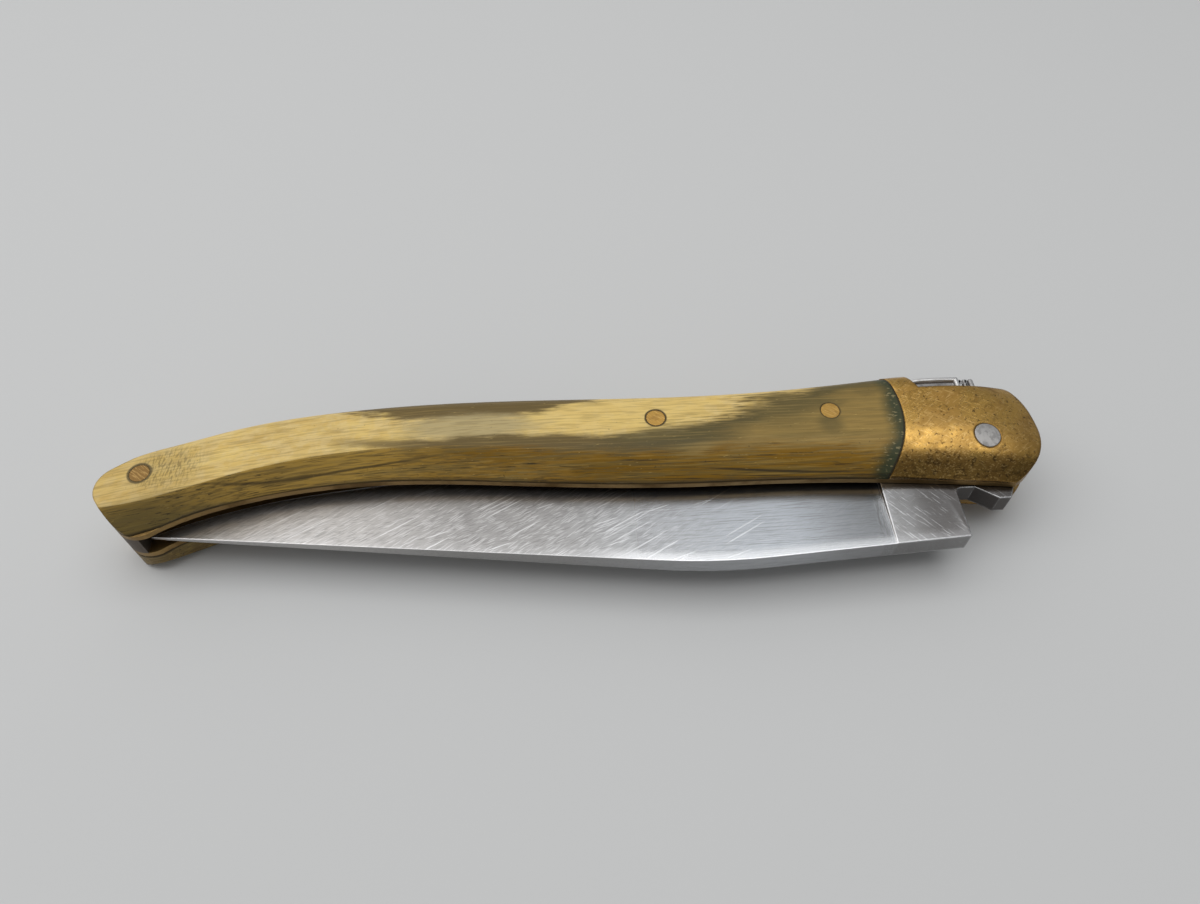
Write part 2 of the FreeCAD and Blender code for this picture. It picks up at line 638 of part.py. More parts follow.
SWELL_TIP = tangent_point(TIP_DX, TIP_DY, "1 *")
SWELL_STEP = tangent_point(STEP_DX, STEP_DY, "-1 *")
TANG_END_X = "sqrt(Sizes.tang_round ^ 2 - Sizes.tang_flat ^ 2)"
blade = new_body("blade")
blade_sketch = new_sketch(blade, "BladeOutline", offset="-" + HALF_BLADE)
draw(blade_sketch, [
    line(TIP_X, "Sizes.tip_y"),
    arc(SWELL_TIP[0], SWELL_TIP[1], "Sizes.swell_radius", "left"),
    line(SWELL_STEP[0], SWELL_STEP[1]),
    line("Sizes.step_x", "Sizes.step_y"),
    arc("Sizes.step_x", "-Sizes.tang_flat - Sizes.step_relief", "Sizes.step_relief", "right"),
    line("Sizes.step_x + Sizes.step_relief", "-Sizes.tang_flat"),
    line("Sizes.hook_root_x", "-Sizes.tang_flat"),
    line("Sizes.hook_low_x", "-Sizes.hook_reach"),
    line("Sizes.hook_tip_x", "-Sizes.hook_reach"),
    arc(TANG_END_X, "-Sizes.tang_flat", "Sizes.tang_round", "left"),
    line(TANG_END_X, "Sizes.tang_flat"),
    line("Sizes.tang_flat_back_x", "Sizes.tang_flat"),
    curve("Sizes.plunge_x", "Sizes.edge_heel_y", [
        ("Sizes.grip_x", "Sizes.edge_grip_y"),
        ("Sizes.mid_x", "Sizes.edge_mid_y"),
        (STATIONS["waist"], "Sizes.edge_waist_y"),
        ("%s + Sizes.edge_point_run" % TIP_X, "Sizes.edge_point_y"),
    ]),
])
pad(blade, blade_sketch, "Sizes.blade_thick", "BladePad")

# Flat grind on each face, from the plunge to the tip, thinning towards the edge and the point.
GRIND_SPINE = "(%s - Sizes.grind_shy)" % HALF_BLADE
GRIND_FALL = "((%s - Sizes.grind_edge) / (Sizes.edge_heel_y - Sizes.step_y))" % GRIND_SPINE
GRIND_LOW = "(-Sizes.swell_reach - Sizes.blade_thick)"
GRIND_HIGH = "(Sizes.edge_grip_y + Sizes.blade_thick)"


def grind_section(name, x, level, from_y):
    """The space beside the ground face at one place along the blade."""
    section = new_sketch(blade, name, "YZ_Plane", x)
    low = "%s - %s * (%s - %s)" % (level, GRIND_FALL, GRIND_LOW, from_y)
    high = "%s - %s * (%s - %s)" % (level, GRIND_FALL, GRIND_HIGH, from_y)
    draw(section, [
        line(GRIND_LOW, low),
        line(GRIND_HIGH, high),
        line(GRIND_HIGH, "2 * Sizes.blade_thick"),
        line(GRIND_LOW, "2 * Sizes.blade_thick"),
    ])
    section.Visibility = False
    return section


grind = blade.newObject("PartDesign::SubtractiveLoft", "Grind")
grind.Profile = grind_section("GrindPlunge", "Sizes.plunge_x", GRIND_SPINE, "Sizes.step_y")
grind.Sections = [
    grind_section("GrindTip", TIP_X + " - Sizes.blade_thick", "Sizes.grind_tip", "Sizes.tip_y"),
]
grind.Ruled = True
doc.recompute()
grind_pair = blade.newObject("PartDesign::Mirrored", "GrindPair")
grind_pair.Originals = [grind]
grind_pair.MirrorPlane = (origin_plane(blade, "XY_Plane"), [""])
blade.Tip = grind_pair
blade_hole = new_sketch(blade, "PivotHole", offset="-" + HALF_BLADE)
draw_circle(blade_hole, "0", "0", "Sizes.pivot_radius + Sizes.pivot_fit")
pocket(blade, blade_hole, "Sizes.blade_thick", "PivotDrilling")

# Thumb piece: a long lobe and a short head, with a groove between them, that stand on the spring's end.
FLY_BACK = "(Sizes.ramp_foot_x + Sizes.fly_setback)"
FLY_FRONT = "(%s - Sizes.fly_setback)" % NIB_FRONT
spring_fly_side = new_body("spring_fly_side")
fly_side_sketch = new_sketch(spring_fly_side, "FlySide", offset="-Sizes.fly_half_wide")
draw(fly_side_sketch, [
    line(FLY_BACK, "Sizes.shelf_y"),
    line(FLY_FRONT, "Sizes.shelf_y"),
    line(FLY_FRONT, "Sizes.fly_head_top - Sizes.fly_groove"),
    line(FLY_FRONT + " - Sizes.fly_groove", "Sizes.fly_head_top"),
    line("Sizes.fly_neck_x + Sizes.fly_groove", "Sizes.fly_head_top"),
    line("Sizes.fly_neck_x", "Sizes.fly_head_top - Sizes.fly_groove"),
    arc("Sizes.fly_neck_x - Sizes.fly_groove", "Sizes.fly_head_top", "Sizes.fly_crown", "left"),
    arc("Sizes.fly_peak_x", "Sizes.fly_top", "Sizes.fly_top - Sizes.shelf_y", "left"),
])
pad(spring_fly_side, fly_side_sketch, "2 * Sizes.fly_half_wide", "FlySidePad")
spring_fly_plan = new_body("spring_fly_plan")
fly_plan_sketch = new_sketch(spring_fly_plan, "FlyPlan", "XZ_Plane", "-Sizes.shelf_y")
FLY_ROUND = "2 * (Sizes.fly_neck_x - %s)" % FLY_BACK
draw(fly_plan_sketch, [
    arc(FLY_BACK, "-Sizes.fly_half_tail", FLY_ROUND, "left"),
    line("Sizes.fly_neck_x", "-Sizes.fly_half_neck"),
    line(FLY_FRONT, "-Sizes.fly_half_head"),
    line(FLY_FRONT, "Sizes.fly_half_head"),
    arc("Sizes.fly_neck_x", "Sizes.fly_half_neck", FLY_ROUND, "left"),
    line(FLY_BACK, "Sizes.fly_half_tail"),
])
fly_plan_pad = pad(spring_fly_plan, fly_plan_sketch, "Sizes.fly_top - Sizes.shelf_y", "FlyPlanPad")
fly_plan_pad.Reversed = True
spring_fly = boolean("Common", "spring_fly", spring_fly_side, spring_fly_plan)

# Pins: peened bars ground flush with the crowned sides and with the flat lands.
left_form_turned = mirrored("left_form_turned", left_form)
bolster_form_turned = mirrored("bolster_form_turned", bolster_form)
BAR_END = "(%s + 2 * Sizes.edge_spread)" % HALF_THICK
slab = doc.addObject("Part::Box", "slab")
slab.setExpression("Length", "2 * (Sizes.tail_reach + Sizes.nose_reach)")
slab.setExpression("Width", "2 * (Sizes.swell_reach + Sizes.fly_top)")
slab.setExpression("Height", "2 * " + HALF_THICK)
slab.setExpression("Placement.Base.x", "-(Sizes.tail_reach + Sizes.nose_reach)")
slab.setExpression("Placement.Base.y", "-(Sizes.swell_reach + Sizes.fly_top)")
through_pins = []
for label, x, y, radius, upper, lower in (
    ("pivot_pin", "0", "0", "Sizes.pivot_radius", bolster_form, bolster_form_turned),
    ("middle_pin", "Sizes.middle_pin_x", "Sizes.middle_pin_y", "Sizes.pin_radius", right_form, left_form_turned),
    ("tail_pin", TAIL_PIN_X, "Sizes.tail_pin_y", "Sizes.pin_radius", right_form, left_form_turned),
):
    bar = cylinder(label + "_bar", x, y, radius, "-" + BAR_END, BAR_END)
    flush_above = boolean("Common", label + "_above", upper, bar)
    flush_below = boolean("Common", label + "_below", lower, flush_above)
    through_pins.append(boolean("Common", label, slab, flush_below))
front_bar = cylinder("front_rivet_bar", "Sizes.front_pin_x", "Sizes.front_pin_y", "Sizes.pin_radius",
                     HALF_CHANNEL, BAR_END)
right_front_blank = boolean("Common", "right_front_blank", right_form, front_bar)
right_front_rivet = boolean("Common", "right_front_rivet", slab, right_front_blank)
left_front_blank = boolean("Common", "left_front_blank", left_form, front_bar)
left_front_half = boolean("Common", "left_front_half", slab, left_front_blank)
left_front_rivet = mirrored("left_front_rivet", left_front_half)
right_bolster_rivet = cylinder("right_bolster_rivet", "Sizes.bolster_rivet_x", "Sizes.bolster_rivet_y",
                               "Sizes.bolster_rivet_radius", HALF_CHANNEL, RIVET_TOP)
left_bolster_rivet = mirrored("left_bolster_rivet", right_bolster_rivet)

doc.recompute()

NODES = [
    blade, back_spring, spring_fly,
    right_liner, left_liner, right_bolster, left_bolster, right_scale, left_scale,
    right_front_rivet, left_front_rivet, right_bolster_rivet, left_bolster_rivet,
] + through_pins

for item in doc.Objects:
    if "Invalid" in item.State or "Error" in item.State:
        raise RuntimeError("%s did not build: %s" % (item.Label, item.State))
for node in NODES:
    if node.Shape.isNull() or not node.Shape.isValid() or len(node.Shape.Solids) != 1:
        raise RuntimeError("%s is not one valid solid" % node.Label)

os.makedirs("parts", exist_ok=True)
for node in NODES:
    node.Shape.exportStep("parts/%s.step" % node.Label)
    box = node.Shape.BoundBox
    print("%s volume %.1f X %.2f..%.2f Y %.2f..%.2f Z %.2f..%.2f" % (
        node.Label, node.Shape.Volume, box.XMin, box.XMax, box.YMin, box.YMax, box.ZMin, box.ZMax))
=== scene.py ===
"""A closed folding knife with horn scales, brass bolsters and a satin steel blade, lying on its left side."""
import json
import math

import bmesh
import bpy
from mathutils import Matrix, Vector


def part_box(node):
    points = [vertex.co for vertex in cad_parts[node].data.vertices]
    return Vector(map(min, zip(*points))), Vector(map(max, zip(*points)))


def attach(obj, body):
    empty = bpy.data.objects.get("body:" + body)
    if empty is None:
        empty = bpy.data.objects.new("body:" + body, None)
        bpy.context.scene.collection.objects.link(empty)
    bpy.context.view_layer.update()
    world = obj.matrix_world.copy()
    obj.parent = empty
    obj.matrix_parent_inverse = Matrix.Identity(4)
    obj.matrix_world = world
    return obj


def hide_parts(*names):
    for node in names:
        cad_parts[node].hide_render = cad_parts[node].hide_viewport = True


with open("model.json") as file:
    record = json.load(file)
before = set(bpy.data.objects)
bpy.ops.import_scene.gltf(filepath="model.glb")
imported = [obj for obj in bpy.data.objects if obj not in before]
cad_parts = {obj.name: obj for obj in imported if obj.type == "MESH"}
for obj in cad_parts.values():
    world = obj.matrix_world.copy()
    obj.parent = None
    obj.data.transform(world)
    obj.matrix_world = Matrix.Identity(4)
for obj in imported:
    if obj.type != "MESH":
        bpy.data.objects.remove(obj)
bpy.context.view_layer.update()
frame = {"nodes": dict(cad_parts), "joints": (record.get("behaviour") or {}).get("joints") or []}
nodes = frame["nodes"]

# Blade: one piece of carbon steel, forged and then ground flat on both faces from the plunge to the tip.
# The grind is satin towards the tip and near a mirror at the plunge, scratched by honing and in the pocket.
# Between plunge and pivot are the ricasso, which keeps its full thickness, and the tang's hook, forge black
# and darkened further by painted shade under the bolster.
MM = 0.001
PIVOT = Vector(frame["joints"][0]["pos_m"]) / MM
STEEL_SATIN = (0.385, 0.377, 0.37, 1.0)
STEEL_POLISHED = (0.56, 0.58, 0.61, 1.0)
STEEL_DARK = (0.20, 0.195, 0.19, 1.0)
STEEL_BRIGHT = (0.90, 0.90, 0.91, 1.0)
STEEL_TIP = (0.58, 0.565, 0.55, 1.0)
FORGE_BLACK_AND_SHADE = (0.06, 0.052, 0.048, 1.0)

# A reach is where a change begins and where it is complete, here in millimetres along the knife.
PLUNGE_X = PIVOT.x - 13.5
RICASSO_REACH = (PLUNGE_X - 0.1, PLUNGE_X + 0.3)
PAINTED_SHADE_REACH = (PLUNGE_X + 1.5, PLUNGE_X + 6.0)
FACET_REACH = (PLUNGE_X - 1.6, PLUNGE_X - 1.4)
PAINTED_DIM_REACH = (PLUNGE_X - 14.0, PLUNGE_X - 2.0)
GROOVE_REACH = (PLUNGE_X - 6.0, PLUNGE_X - 22.0)
SATIN_REACH = (PLUNGE_X - 12.0, PLUNGE_X - 46.0)
TIP_REACH = (PLUNGE_X - 50.0, PLUNGE_X - 72.0)
SWELL_REACH = (-4.0, 10.0)
HOOK_SLANT = 0.25
HOOK_X = PIVOT.x + HOOK_SLANT * PIVOT.y - 7.3
HOOK_REACH = (HOOK_X, HOOK_X + 0.4)

# How squarely a surface faces up or down, and how little a rounded edge is turned, as cosines.
FLAT_FACING = (0.6, 0.9)
HOOK_SHADE_FACING = (0.5, 0.95)
EDGE_BEND = (0.998, 0.86)
SHINE_BEND = (0.9995, 0.97)

# The directions of the scratches, in degrees.
TIP_HONING = -23.0
SIDE_HONING = -39.0
POCKET_TURN = -30.0
POLISH_TURN = -1.0
FACET_TURN = -87.0
RICASSO_TURN = 48.0


def node(tree, kind, inputs=None, **settings):
    """Adds a shader node; an input is a plain value or a socket to link."""
    made = tree.nodes.new("ShaderNode" + kind)
    for name, value in settings.items():
        setattr(made, name, value)
    for name, value in (inputs or {}).items():
        if isinstance(value, bpy.types.NodeSocket):
            tree.links.new(value, made.inputs[name])
        else:
            made.inputs[name].default_value = value
    return made


def work_out(tree, operation, first, second=0.0):
    """A number worked out from one or two others."""
    return node(tree, "Math", {0: first, 1: second}, operation=operation).outputs[0]


def add(tree, first, *others):
    for other in others:
        first = work_out(tree, "ADD", first, other)
    return first


def share(tree, first, *others):
    """A mask cut down by other masks or by plain strengths."""
    for other in others:
        first = work_out(tree, "MULTIPLY", first, other)
    return first


def either(tree, first, second):
    return work_out(tree, "MAXIMUM", first, second)


def rest_of(tree, mask):
    return work_out(tree, "SUBTRACT", 1.0, mask)


def ease(tree, value, start, end, low=0.0, high=1.0):
    """A soft step of a value from low to high between start and end."""
    inputs = {"Value": value, "From Min": start, "From Max": end, "To Min": low, "To Max": high}
    return node(tree, "MapRange", inputs, interpolation_type="SMOOTHSTEP").outputs["Result"]


def between(tree, mask, low, high):
    """A value that is low where the mask is empty and high where it is full."""
    return ease(tree, mask, 0.0, 1.0, low, high)


def arrow(tree, operation, first, second):
    """A vector worked out from two others."""
    return node(tree, "VectorMath", {0: first, 1: second}, operation=operation).outputs[0]


def measure(tree, operation, first, second=(0.0, 0.0, 0.0)):
    """A number worked out from one or two vectors."""
    return node(tree, "VectorMath", {0: first, 1: second}, operation=operation).outputs["Value"]


def scaled(tree, vector, factor):
    return node(tree, "VectorMath", {0: vector, "Scale": factor}, operation="SCALE").outputs[0]


def turned(tree, vector, angle):
    """A vector turned about the upright axis."""
    return node(tree, "VectorRotate", {"Vector": vector, "Angle": angle}, rotation_type="Z_AXIS").outputs[0]


def noise(tree, vector, detail, roughness):
    inputs = {"Vector": vector, "Scale": 1.0, "Detail": detail, "Roughness": roughness}
    return node(tree, "TexNoise", inputs).outputs[0]


def parts_of(tree, vector):
    return node(tree, "SeparateXYZ", {0: vector}).outputs


def facing_of(tree):
    """Which way a surface faces in the knife's own frame."""
    return parts_of(tree, node(tree, "TexCoord").outputs["Normal"])


def tint(tree, mask, under, over):
    """Lays one colour over another where the mask is full."""
    return node(tree, "Mix", {0: mask, 6: under, 7: over}, data_type="RGBA").outputs[2]


def lay(tree, colour, *coats):
    """Lays coats over a colour, one after the other; a coat is a mask, its strength and its own colour."""
    for mask, strength, over in coats:
        colour = tint(tree, share(tree, mask, strength), colour, over)
    return colour


def new_group(name, inputs, outputs):
    group = bpy.data.node_groups.new(name, "ShaderNodeTree")
    for label, kind in inputs:
        group.interface.new_socket(label, in_out="INPUT", socket_type="NodeSocket" + kind)
    for label, kind in outputs:
        group.interface.new_socket(label, in_out="OUTPUT", socket_type="NodeSocket" + kind)
    return group, group.nodes.new("NodeGroupInput").outputs, group.nodes.new("NodeGroupOutput").inputs


def drawn_out(group, given, thickness):
    """A group's place, turned and drawn out along its scratches."""
    reach = node(group, "CombineXYZ", {0: given["Length"], 1: given["Width"], 2: thickness}).outputs[0]
    return arrow(group, "DIVIDE", turned(group, given["Place"], given["Turn"]), reach)


# Scratches all one way: a noise drawn out along the scratch and cut off above a threshold.
scratches, given, out = new_group(
    "Scratches",
    [("Place", "Vector"), ("Turn", "Float"), ("Length", "Float"), ("Width", "Float"), ("Threshold", "Float"),
     ("Soft", "Float")],
    [("Mask", "Float")],
)
streaks = noise(scratches, drawn_out(scratches, given, given["Width"]), detail=2.0, roughness=0.5)
full = add(scratches, given["Threshold"], given["Soft"])
scratches.links.new(ease(scratches, streaks, given["Threshold"], full), out["Mask"])

# Scores: straight scratches with clean ends, one to a drawn-out cell and only in a share of the cells.
SCORE_EDGE = (0.3, 0.2)
FAINTEST_SCORE = 0.35
scores, given, out = new_group(
    "Scores",
    [("Place", "Vector"), ("Turn", "Float"), ("Length", "Float"), ("Width", "Float"), ("Share", "Float")],
    [("Mask", "Float")],
)
drawn = drawn_out(scores, given, 1.0)
cells = node(scores, "TexVoronoi", {"Vector": drawn, "Scale": 0.6}, voronoi_dimensions="2D").outputs
chance = node(scores, "SeparateColor", {0: cells["Color"]}).outputs
cut = ease(scores, cells["Distance"], *SCORE_EDGE)
kept = work_out(scores, "LESS_THAN", chance[0], given["Share"])
depth = between(scores, chance[1], FAINTEST_SCORE, 1.0)
scores.links.new(share(scores, cut, depth, kept), out["Mask"])

# Edges: how far a face is turned by rounding its edges, and the rounded direction.
edges, given, out = new_group("Edges", [("Width", "Float")], [("Mask", "Float"), ("Normal", "Vector")])
rounded = node(edges, "Bevel", {"Radius": given["Width"]}, samples=6).outputs[0]
square = node(edges, "NewGeometry").outputs["Normal"]
edges.links.new(ease(edges, measure(edges, "DOT_PRODUCT", rounded, square), *EDGE_BEND), out["Mask"])
edges.links.new(rounded, out["Normal"])

# Blotches: soft patches of a given size, from a noise cut off above a threshold.
blotches, given, out = new_group(
    "Blotches", [("Place", "Vector"), ("Size", "Float"), ("Threshold", "Float"), ("Soft", "Float")],
    [("Mask", "Float")],
)
spread = scaled(blotches, given["Place"], work_out(blotches, "DIVIDE", 1.0, given["Size"]))
patches = noise(blotches, spread, detail=5.0, roughness=0.6)
full = add(blotches, given["Threshold"], given["Soft"])
blotches.links.new(ease(blotches, patches, given["Threshold"], full), out["Mask"])


def new_material(name, metallic=0.0):
    """A material, its tree, its shader and its place in millimetres, from the knife's middle on the table."""
    material = bpy.data.materials.new(name)
    material.use_nodes = True
    tree = material.node_tree
    shader = tree.nodes["Principled BSDF"]
    shader.inputs["Metallic"].default_value = metallic
    return material, tree, shader, scaled(tree, node(tree, "TexCoord").outputs["Object"], 1 / MM)


def scratch(tree, place, turn, length, width, threshold, soft=0.05):
    """A mask of scratches; the turn is in degrees, the length and width in millimetres."""
    inputs = {"Place": place, "Turn": math.radians(turn), "Length": length, "Width": width,
              "Threshold": threshold, "Soft": soft}
    return node(tree, "Group", inputs, node_tree=scratches).outputs["Mask"]


def score(tree, place, turn, length, width, portion):
    """A mask of straight scores, in the same units, in a portion of the cells."""
    inputs = {"Place": place, "Turn": math.radians(turn), "Length": length, "Width": width, "Share": portion}
    return node(tree, "Group", inputs, node_tree=scores).outputs["Mask"]


def edge(tree, width):
    """The mask and the rounded direction of edges, for a rounding in millimetres."""
    return node(tree, "Group", {"Width": width * MM}, node_tree=edges).outputs


def blotch(tree, place, size, threshold, soft):
    """A mask of soft patches of a size in millimetres."""
    inputs = {"Place": place, "Size": size, "Threshold": threshold, "Soft": soft}
    return node(tree, "Group", inputs, node_tree=blotches).outputs["Mask"]


def dress(tree, shader, colour, rough, height, normal, strength, depth):
    """Feeds a shader its colour, roughness and relief."""
    inputs = {"Strength": strength, "Distance": depth * MM, "Height": height, "Normal": normal}
    tree.links.new(colour, shader.inputs["Base Color"])
    tree.links.new(rough, shader.inputs["Roughness"])
    tree.links.new(node(tree, "Bump", inputs).outputs[0], shader.inputs["Normal"])


def paint(material, *labels):
    """Gives pieces of the knife their finish."""
    for label in labels:
        nodes[label].data.materials.clear()
        nodes[label].data.materials.append(material)


blade_steel, tree, shader, place = new_material("blade_steel", metallic=1.0)
along = parts_of(tree, place)
facing = facing_of(tree)
flat = ease(tree, work_out(tree, "ABSOLUTE", facing["Z"]), *FLAT_FACING)
satin = ease(tree, along["X"], *SATIN_REACH)
tip = ease(tree, along["X"], *TIP_REACH)
ricasso = ease(tree, along["X"], *RICASSO_REACH)
ground = rest_of(tree, ricasso)
facet = share(tree, ease(tree, along["X"], *FACET_REACH), ground)
swell = share(tree, ease(tree, along["X"], *SWELL_REACH), ground)
hook = ease(tree, add(tree, along["X"], share(tree, along["Y"], HOOK_SLANT)), *HOOK_REACH)
not_hook = rest_of(tree, hook)

# Scratches from the stone and the pocket, lines from the polishing wheel, pits and clouds.
facet_lines = scratch(tree, place, FACET_TURN, length=4.0, width=0.2, threshold=0.46, soft=0.12)
hatch = either(tree, score(tree, place, TIP_HONING, length=1.3, width=0.15, portion=0.75),
               score(tree, place, SIDE_HONING, length=2.0, width=0.16, portion=0.6))
honing = share(tree, hatch, flat, between(tree, satin, 0.06, 0.36))
dark_hatch = either(tree, score(tree, place, POCKET_TURN, length=1.6, width=0.16, portion=0.8),
                    score(tree, place, TIP_HONING * 0.4, length=1.2, width=0.15, portion=0.6))
dark_lines = scratch(tree, place, POCKET_TURN, length=3.6, width=0.2, threshold=0.5, soft=0.15)
grooves = either(tree, score(tree, place, POCKET_TURN, length=7.0, width=0.2, portion=0.2),
                 score(tree, place, TIP_HONING * 0.8, length=4.0, width=0.17, portion=0.12))
grooves = share(tree, grooves, flat, ease(tree, along["X"], *GROOVE_REACH))
polish = scratch(tree, place, POLISH_TURN, length=5.0, width=0.13, threshold=0.5, soft=0.12)
rubs = scratch(tree, place, RICASSO_TURN, length=2.6, width=0.13, threshold=0.62)
pits = blotch(tree, place, size=0.55, threshold=0.6, soft=0.08)
clouds = blotch(tree, place, size=2.4, threshold=0.42, soft=0.25)

# Painted highlights on the edges: a wide soft band along the swell, a fine rim all round, and one on the tang
# that is partly wear.
rim = edge(tree, width=0.2)
soft_rim = edge(tree, width=2.4)
bent = measure(tree, "DOT_PRODUCT", soft_rim["Normal"], node(tree, "NewGeometry").outputs["Normal"])
swell_highlight = share(tree, ease(tree, bent, *SHINE_BEND), flat, between(tree, swell, 0.15, 0.9))
tang_rim = share(tree, edge(tree, width=0.4)["Mask"], ricasso)
tang_wear_and_highlight = add(tree, share(tree, between(tree, clouds, 0.1, 0.5), hook), share(tree, not_hook, 0.7))

steel = tint(tree, tip, tint(tree, satin, STEEL_POLISHED, STEEL_SATIN), STEEL_TIP)
colour = lay(
    tree, steel,
    # Painted shade and dark reflection: the steel darkens towards the plunge, most on the ricasso, standing
    # in for the handle's shadow and mirrored image.
    (ease(tree, along["X"], *PAINTED_DIM_REACH, high=0.55), between(tree, ricasso, 1.0, 1.6), STEEL_DARK),
    (polish, between(tree, satin, 0.35, 0.1), STEEL_DARK),
    (dark_lines, between(tree, satin, 0.05, 0.25), STEEL_DARK),
    (share(tree, dark_hatch, flat), between(tree, satin, 0.06, 0.45), STEEL_DARK),
    (honing, 1.0, STEEL_BRIGHT),
    (grooves, 0.55, STEEL_BRIGHT),
    (facet, between(tree, facet_lines, 0.0, 0.6), STEEL_DARK),
    (share(tree, pits, ricasso), 0.7, STEEL_DARK),
    (share(tree, clouds, ricasso), 0.6, STEEL_DARK),
    # Painted shade: the flat of the ricasso goes near black towards the bolster.
    (ease(tree, along["X"], *PAINTED_SHADE_REACH, high=0.62), flat, FORGE_BLACK_AND_SHADE),
    (share(tree, rubs, ricasso), 0.3, STEEL_BRIGHT),
    # Painted shade: faces that don't face up or down, such as the spine, are a quarter darker.
    (between(tree, flat, 0.25, 0.0), 1.0, STEEL_DARK),
    # Painted highlights: the soft band along the swell and the fine rim on every edge.
    (swell_highlight, not_hook, STEEL_BRIGHT),
    (rim["Mask"], 0.8, STEEL_BRIGHT),
    # Forge black on the hook, with painted shade: darkest on the faces that don't face up, under the bolster.
    (hook, ease(tree, facing["Z"], *HOOK_SHADE_FACING, 0.88, 0.3), FORGE_BLACK_AND_SHADE),
    # The tang's rim: painted highlight, and some wear.
    (tang_rim, tang_wear_and_highlight, STEEL_BRIGHT),
)
worn = share(tree, either(tree, ricasso, hook), 0.03)
rough = add(tree, between(tree, satin, 0.22, 0.3), worn)
height = add(tree, share(tree, polish, 0.2), either(tree, honing, grooves))
dress(tree, shader, colour, rough, height, rim["Normal"], strength=0.2, depth=0.02)
paint(blade_steel, "blade")

# Back spring: hardened steel, flush with the back of the handle, held by the middle and tail pins.
# Only its outer edge and its tail end show; they are polished, dulled by the hand and a little brown with
# rust, with a painted highlight on the edges and a painted brown shade over the tail end.
SPRING = (0.30, 0.29, 0.28, 1.0)
SPRING_BROWN = (0.10, 0.075, 0.055, 1.0)
SPRING_END_REACH = (-52.0, -54.0)
spring_steel, tree, shader, place = new_material("spring_steel", metallic=1.0)
rim = edge(tree, width=0.15)
lines = scratch(tree, place, POLISH_TURN, length=8.0, width=0.15, threshold=0.5, soft=0.1)
rust = blotch(tree, place, size=2.0, threshold=0.42, soft=0.4)
tail_end = ease(tree, parts_of(tree, place)["X"], *SPRING_END_REACH)
colour = lay(
    tree, SPRING,
    (lines, 0.3, STEEL_DARK),
    (rust, 0.55, SPRING_BROWN),
    # Painted highlight on the edges, and painted shade darkening the tail end brown.
    (rim["Mask"], 0.3, STEEL_BRIGHT),
    (tail_end, 0.8, SPRING_BROWN),
)
rough = either(tree, between(tree, rust, 0.3, 0.6), share(tree, tail_end, 0.6))
dress(tree, shader, colour, rough, lines, rim["Normal"], strength=0.2, depth=0.02)
paint(spring_steel, "back_spring")

# Liners: brass sheet between the spring and the scales, sawn to the outline of the handle.
# Their edges show as a thin line under the scales and have gone the brown of old copper.
LINER = (0.31, 0.20, 0.075, 1.0)
LINER_BROWN = (0.15, 0.09, 0.032, 1.0)
liner_brass, tree, shader, place = new_material("liner_brass", metallic=1.0)
rim = edge(tree, width=0.1)
tarnish = blotch(tree, place, size=5.0, threshold=0.38, soft=0.3)
lines = scratch(tree, place, POLISH_TURN, length=8.0, width=0.15, threshold=0.52, soft=0.1)
colour = lay(tree, LINER, (tarnish, 0.8, LINER_BROWN), (lines, 0.3, LINER_BROWN))
rough = between(tree, tarnish, 0.4, 0.6)
dress(tree, shader, colour, rough, lines, rim["Normal"], strength=0.2, depth=0.02)
paint(liner_brass, "right_liner", "left_liner")

# Bolsters: brass ends, riveted to the liners and filed to a rounded nose that carries the pivot.
# The brass has an aged brown skin with stains, pits and short scuffs, and a painted highlight along the
# crest; its lower side, nose and edges carry painted shade and dark reflection.
BRASS = (0.63, 0.37, 0.092, 1.0)
BRASS_BROWN = (0.34, 0.19, 0.05, 1.0)
BRASS_SHADE = (0.17, 0.095, 0.026, 1.0)
BRASS_DARK = (0.07, 0.04, 0.015, 1.0)
BRASS_RUBBED_AND_HIGHLIGHT = (0.76, 0.51, 0.20, 1.0)
UNDER_SIDE_REACH = (PIVOT.y - 2.0, PIVOT.y - 4.6)
NOSE_REACH = (PIVOT.x - 1.0, PIVOT.x + 3.0)
AWAY_FACING = (0.92, 0.55)
SCUFF_TURN = -38.0
CROSS_SCUFF_TURN = 32.0
PIVOT_RING = 1.82

# Stain: an oval patch with a ragged, drawn-out border.
IN_PLAN = (1.0, 1.0, 0.0)
FRAY_PULL = (0.25, 1.6, 1.6)
stain_patch, given, out = new_group(
    "Stain", [("Place", "Vector"), ("Centre", "Vector"), ("Half Size", "Vector"), ("Turn", "Float"),
              ("Soft", "Float"), ("Ragged", "Float")],
    [("Mask", "Float")],
)
level = turned(stain_patch, arrow(stain_patch, "SUBTRACT", given["Place"], given["Centre"]), given["Turn"])
halves = arrow(stain_patch, "DIVIDE", level, given["Half Size"])
reach = measure(stain_patch, "LENGTH", arrow(stain_patch, "MULTIPLY", halves, IN_PLAN))
pulled = arrow(stain_patch, "MULTIPLY", given["Place"], FRAY_PULL)
fray = work_out(stain_patch, "SUBTRACT", noise(stain_patch, pulled, detail=4.0, roughness=0.6), 0.5)
border = add(stain_patch, reach, share(stain_patch, fray, given["Ragged"]))
inner = work_out(stain_patch, "SUBTRACT", 1.0, given["Soft"])
outer = add(stain_patch, 1.0, given["Soft"])
stain_patch.links.new(ease(stain_patch, border, outer, inner), out["Mask"])


def stain(tree, place, centre, half_size, turn=0.0, soft=0.3, ragged=1.2):
    """A mask of one oval stain, placed in millimetres and turned in degrees."""
    inputs = {"Place": place, "Centre": (*centre, 0.0), "Half Size": (*half_size, 1.0),
              "Turn": math.radians(-turn), "Soft": soft, "Ragged": ragged}
    return node(tree, "Group", inputs, node_tree=stain_patch).outputs["Mask"]


